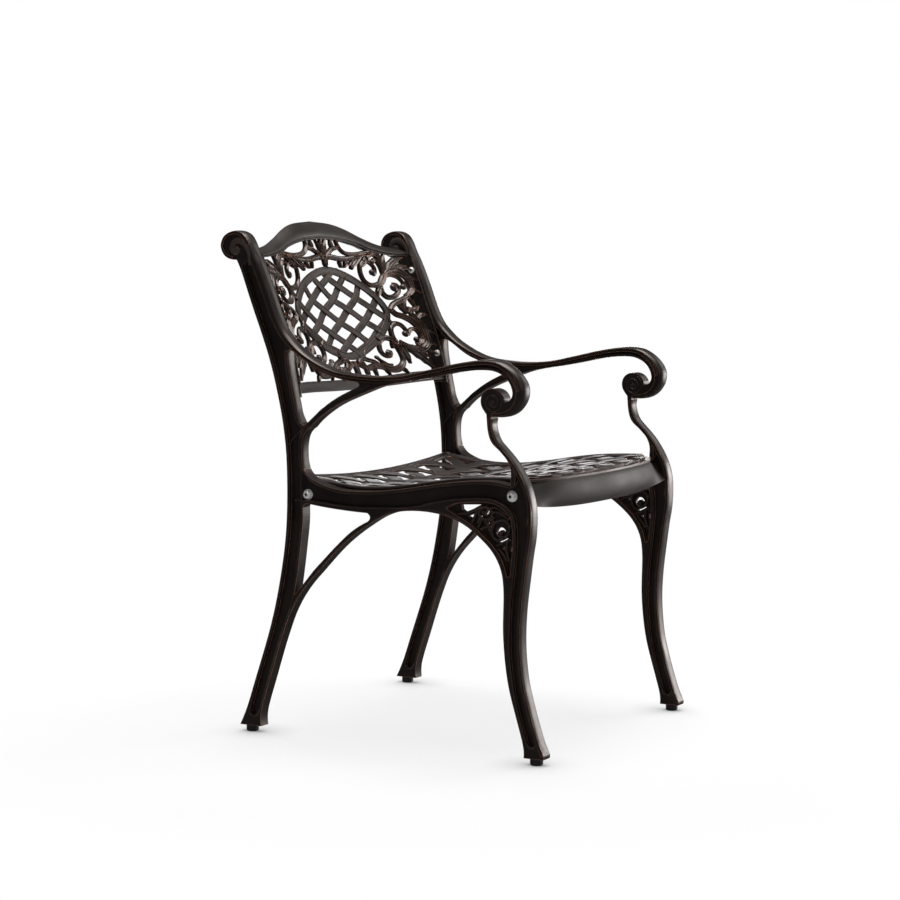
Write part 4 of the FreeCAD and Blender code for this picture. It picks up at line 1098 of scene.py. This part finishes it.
def woven_lift(share, marks):
    """Stands ahead over one ribbon and behind the next, with even slopes between."""
    if not marks:
        return 0.0
    if share <= marks[0][0]:
        return marks[0][1]
    for (start, here), (end, there) in zip(marks, marks[1:]):
        if share <= end:
            return here + (there - here) * plateau((share - start) / (end - start))
    return marks[-1][1]


def back_ribbons():
    rising = [[spot for spot in curve(line, STRAP_STEP) if in_oval(*spot, RIBBON_INSET)]
              for line in RIBBONS]
    falling = [flipped(line) for line in rising]
    solids = []
    for lines, others, sign in ((rising, falling, 1), (falling, rising, -1)):
        for number, line in enumerate(lines):
            marks = [(share, WEAVE_RISE * sign * (1 if (number + other) % 2 == 0 else -1))
                     for share, other in crossings(line, others)]
            solids.append(strap(line, lambda t: RIBBON_WIDTH, BEADED,
                                lambda t: woven_lift(t, marks)))
    return solids


def back_ring():
    """Ring round the oval: a thicker ribbon."""
    section = [(share, depth + (0.9 if depth > 0 else -0.8)) for share, depth in BEADED]
    return [strap(oval_line(RING_INSET), lambda t: RIBBON_WIDTH + 1.0, section, cyclic=True)]


# Edges of the crest and of the foot rail as (x, z) of the left half
CREST_TOP = [(0, 860), (60, 855.5), (100, 846), (140, 831), (180, 818.5), (220, 812), (246, 808.5)]
CREST_FOOT = [(0, 828), (60, 824), (110, 815), (140, 806), (180, 800), (225, 797), (246, 796)]
FOOT_TOP = [(0, 584.5), (90, 586), (180, 589), (246, 590)]
FOOT_FOOT = [(0, 566.5), (90, 568), (180, 571), (246, 572.5)]
# Sections from the lower rear edge round the front to the upper rear edge: (share of height, ahead)
CREST_SECTION = [(0.03, -12.0), (0.0, -6.0), (0.0, 0.2), (0.03, 1.9), (0.08, 2.5), (0.125, 1.9),
                 (0.155, 1.0), (0.185, 1.6), (0.23, 2.9), (0.31, 3.7), (0.42, 3.5), (0.55, 2.2),
                 (0.68, 0.3), (0.80, -2.0), (0.90, -4.4), (0.965, -6.8), (0.985, -8.8),
                 (0.93, -11.0), (0.5, -11.3)]
FOOT_SECTION = [(0.0, -5.0), (0.0, 0.8), (0.05, 1.5), (0.12, 1.5), (0.18, 0.5), (0.5, 0.3),
                (0.82, 0.4), (0.93, 0.5), (1.0, -0.4), (1.0, -5.0)]


RAIL_PARTS = 61


def cross_rail(foot, top, section):
    """Rail from post to post between its lower and its upper edge."""
    foot, top = curve(foot, TABLE_STEP), curve(top, TABLE_STEP)
    rings = []
    for i in range(-RAIL_PARTS, RAIL_PARTS + 1):
        x = (SEAT_HALF - 0.2) * i / RAIL_PARTS
        low, high = between(abs(x), foot), between(abs(x), top)
        rings.append([on_back(x, low + (high - low) * share, ahead) for share, ahead in section])
    return rings, False


# Section of a flange as (how far in from the seat's side, ahead)
FLANGE_SECTION = [(0.0, -6.0), (0.0, 18.0), (1.2, 19.0), (3.3, 19.0), (4.5, 18.0), (4.5, -6.0)]


def side_rail(side):
    """Flange that the back bolts pass through, flat against the post."""
    rings = []
    for z in range(567, 807, 8):
        u = between(z, BACK_CURVE)
        rings.append([at(side * (SEAT_HALF - inward), u + ahead, z)
                      for inward, ahead in FLANGE_SECTION])
    return rings, False


# Twisted cord along the front inner edge of a flange
ROPE_X = 240.9
ROPE_AHEAD = 18.3
ROPE_RADIUS = 1.9
ROPE_GROOVE = 0.16
ROPE_TWIST = 1.1


def side_rope(side):
    spots = [at(side * ROPE_X, between(z, BACK_CURVE) + ROPE_AHEAD, z) for z in range(588, 805, 2)]
    rings = tube(spots, ROPE_RADIUS, sides=12)[0]
    for i, (spot, ring) in enumerate(zip(spots, rings)):
        for k in range(12):
            swell = 1 + ROPE_GROOVE * math.cos(4 * math.pi * k / 12 - i * ROPE_TWIST)
            ring[k] = spot + (ring[k] - spot) * swell
    return rings, False


def build_back():
    scrolls = piece("back_scrolls", back_scrolls(), back_coat)
    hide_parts("back_panel")
    piece("back_leaves", back_leaves(), back_coat)
    piece("back_ribbons", back_ribbons(), smooth_coat)
    piece("back_ring", back_ring(), smooth_coat)
    crest = [cross_rail(CREST_FOOT, CREST_TOP, CREST_SECTION)]
    piece("back_crest", crest, smooth_coat, crease=75.0)
    foot_rail = [cross_rail(FOOT_FOOT, FOOT_TOP, FOOT_SECTION)]
    piece("back_foot_rail", foot_rail, smooth_coat)
    piece("back_flanges", [side_rail(side) for side in (-1, 1)], back_coat)
    piece("back_ropes", [side_rope(side) for side in (-1, 1)], bead_coat)


# Studio
FLOOR_GLOW = 0.72
FLOOR_FADE = (0.35, 1.0)
FOOT_SHADE = 0.07
WORLD_LIGHT = 0.11


def studio_floor():
    """Pale floor: white to the camera away from the chair, greyer near it with a painted shadow at the
    feet, dark in reflections.
    """
    bpy.ops.mesh.primitive_plane_add(size=40.0, location=(0.0, 0.0, -0.0006))
    floor = bpy.context.object
    floor.name = "studio_floor"
    material, nodes, links, matt = new_material("pale_floor")
    matt.inputs["Base Color"].default_value = (0.93, 0.93, 0.93, 1.0)
    matt.inputs["Roughness"].default_value = 0.9
    matt.inputs["Specular IOR Level"].default_value = 0.1
    glow = nodes.new("ShaderNodeEmission")
    glow.inputs["Strength"].default_value = 1.0
    place = nodes.new("ShaderNodeTexCoord")
    reach = nodes.new("ShaderNodeVectorMath")
    reach.operation = "LENGTH"
    links.new(place.outputs["Object"], reach.inputs[0])
    far = ramp(nodes, links, reach.outputs["Value"], *FLOOR_FADE)
    white = math_node(nodes, links, "MAXIMUM", far, FLOOR_GLOW)
    path = nodes.new("ShaderNodeLightPath")
    seen = math_node(nodes, links, "MULTIPLY", white, path.outputs["Is Camera Ray"])
    # Painted contact shadow: ambient occlusion darkens the floor's glow near the feet
    painted_foot_shadow = nodes.new("ShaderNodeAmbientOcclusion")
    painted_foot_shadow.inputs["Distance"].default_value = FOOT_SHADE
    links.new(painted_foot_shadow.outputs["Color"], glow.inputs["Color"])
    lit = mix_shaders(nodes, links, seen, matt.outputs["BSDF"], glow.outputs["Emission"])
    dark = nodes.new("ShaderNodeBsdfDiffuse")
    dark.inputs["Color"].default_value = (0.12, 0.12, 0.12, 1.0)
    whole = mix_shaders(nodes, links, path.outputs["Is Glossy Ray"], lit, dark.outputs["BSDF"])
    links.new(whole, nodes["Material Output"].inputs["Surface"])
    floor.data.materials.append(material)


def studio_world():
    """White to the camera, and a faint even light."""
    world = bpy.data.worlds.new("studio")
    bpy.context.scene.world = world
    world.use_nodes = True
    nodes, links = world.node_tree.nodes, world.node_tree.links
    nodes.clear()
    path = nodes.new("ShaderNodeLightPath")
    seen = math_node(nodes, links, "MAXIMUM", path.outputs["Is Camera Ray"],
                     path.outputs["Is Transmission Ray"])
    soft = nodes.new("ShaderNodeBackground")
    soft.inputs["Color"].default_value = (0.96, 0.97, 1.0, 1.0)
    soft.inputs["Strength"].default_value = WORLD_LIGHT
    white = nodes.new("ShaderNodeBackground")
    white.inputs["Color"].default_value = (1.0, 1.0, 1.0, 1.0)
    white.inputs["Strength"].default_value = 1.0
    blend = mix_shaders(nodes, links, seen, soft.outputs["Background"], white.outputs["Background"])
    out = nodes.new("ShaderNodeOutputWorld")
    links.new(blend, out.inputs["Surface"])


# Soft boxes turned to the chair's middle: name, place, width, height, watts
LAMP_TARGET = (0.0, 0.0, 0.45)
LAMPS = [
    ("overhead", (0.2, -0.2, 3.0), 1.9, 1.9, 80.0),
    ("front_of_left", (2.7, -1.9, 0.50), 1.7, 1.2, 58.0),
    ("behind_left", (2.6, 2.0, 0.55), 2.6, 0.8, 60.0),
    ("behind_above", (0.7, 2.5, 2.6), 1.5, 1.5, 26.0),
    ("front_high", (2.6, -1.2, 2.0), 1.3, 0.9, 8.0),
    ("camera_side", (-1.6, -3.2, 1.9), 1.2, 1.2, 7.0),
]


def soft_box(name, place, width, height, power):
    data = bpy.data.lights.new(name, "AREA")
    data.shape = "RECTANGLE"
    data.size = width
    data.size_y = height
    data.energy = power
    lamp = bpy.data.objects.new(name, data)
    lamp.location = place
    lamp.visible_camera = False
    turn = (Vector(LAMP_TARGET) - Vector(place)).to_track_quat("-Z", "Y")
    lamp.rotation_euler = turn.to_euler()
    bpy.context.scene.collection.objects.link(lamp)


# Coats: two mottled colours, roughness, how wide edges are rubbed in metres, how patchily
SHARED = {"edges": rubbed_edges(), "grain": cast_grain()}
frame_coat = bronze("frame_coat", (0.008, 0.006, 0.005), (0.014, 0.010, 0.009), 0.36, 0.0026, 0.30)
panel_coat = bronze("panel_coat", (0.014, 0.011, 0.010), (0.024, 0.019, 0.017), 0.44, 0.0016, 0.35)
# Lighter, rougher copy of the seat's coat for the apron: painted sheen, standing in for the light that
# its rounded front catches
apron_sheen_coat = bronze("apron_sheen_coat", (0.026, 0.022, 0.020), (0.036, 0.031, 0.028), 0.56, 0.0012, 0.30,
                    gloss=0.30)
back_coat = bronze("back_coat", (0.012, 0.009, 0.008), (0.020, 0.015, 0.013), 0.27, 0.0018, 0.45)
smooth_coat = bronze("smooth_coat", (0.017, 0.014, 0.012), (0.024, 0.020, 0.018), 0.40, 0.0012, 0.30,
                     gloss=0.32)
bead_coat = bronze("bead_coat", (0.018, 0.013, 0.011), (0.034, 0.022, 0.018), 0.36, 0.0012, 0.30)
# Lighter copy of the bronze coat for the posts' volutes: painted light, standing in for the light that
# their raised curls catch
painted_light_coat = bronze("painted_light_coat", (0.040, 0.030, 0.026), (0.070, 0.048, 0.040), 0.40, 0.0016, 0.30)
zinc = steel("bright_zinc")
glide_nylon = nylon("glide_nylon")

set_camera()
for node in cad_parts:
    if node.endswith("_frame"):
        paint(node, frame_coat)
    elif node.endswith("_panel"):
        paint(node, panel_coat)
    elif node.endswith("_glide"):
        paint(node, glide_nylon)
    else:
        paint(node, zinc)

for hand, side in (("right", -1), ("left", 1)):
    piece(hand + "_frame_beads", frame_beads(side), bead_coat)
    piece(hand + "_frame_scrolls", frame_scrolls(side), bead_coat)
    piece(hand + "_frame_bands", frame_bands(side), frame_coat)
    # The volutes take the lighter coat: painted light
    piece(hand + "_post_volutes", post_volutes(side), painted_light_coat)
    piece(hand + "_bracket_strands", bracket_strands(side), bead_coat)
    # Dark discs in the bolt sockets, in the glides' black nylon: painted shade
    sockets = [socket_shade(side, u, z) for u, z in SEAT_BOLTS]
    piece(hand + "_bolt_socket_shade", sockets, glide_nylon)
build_back()
build_seat()

studio_floor()
studio_world()
for lamp in LAMPS:
    soft_box(*lamp)
bpy.context.scene.view_settings.view_transform = "Standard"
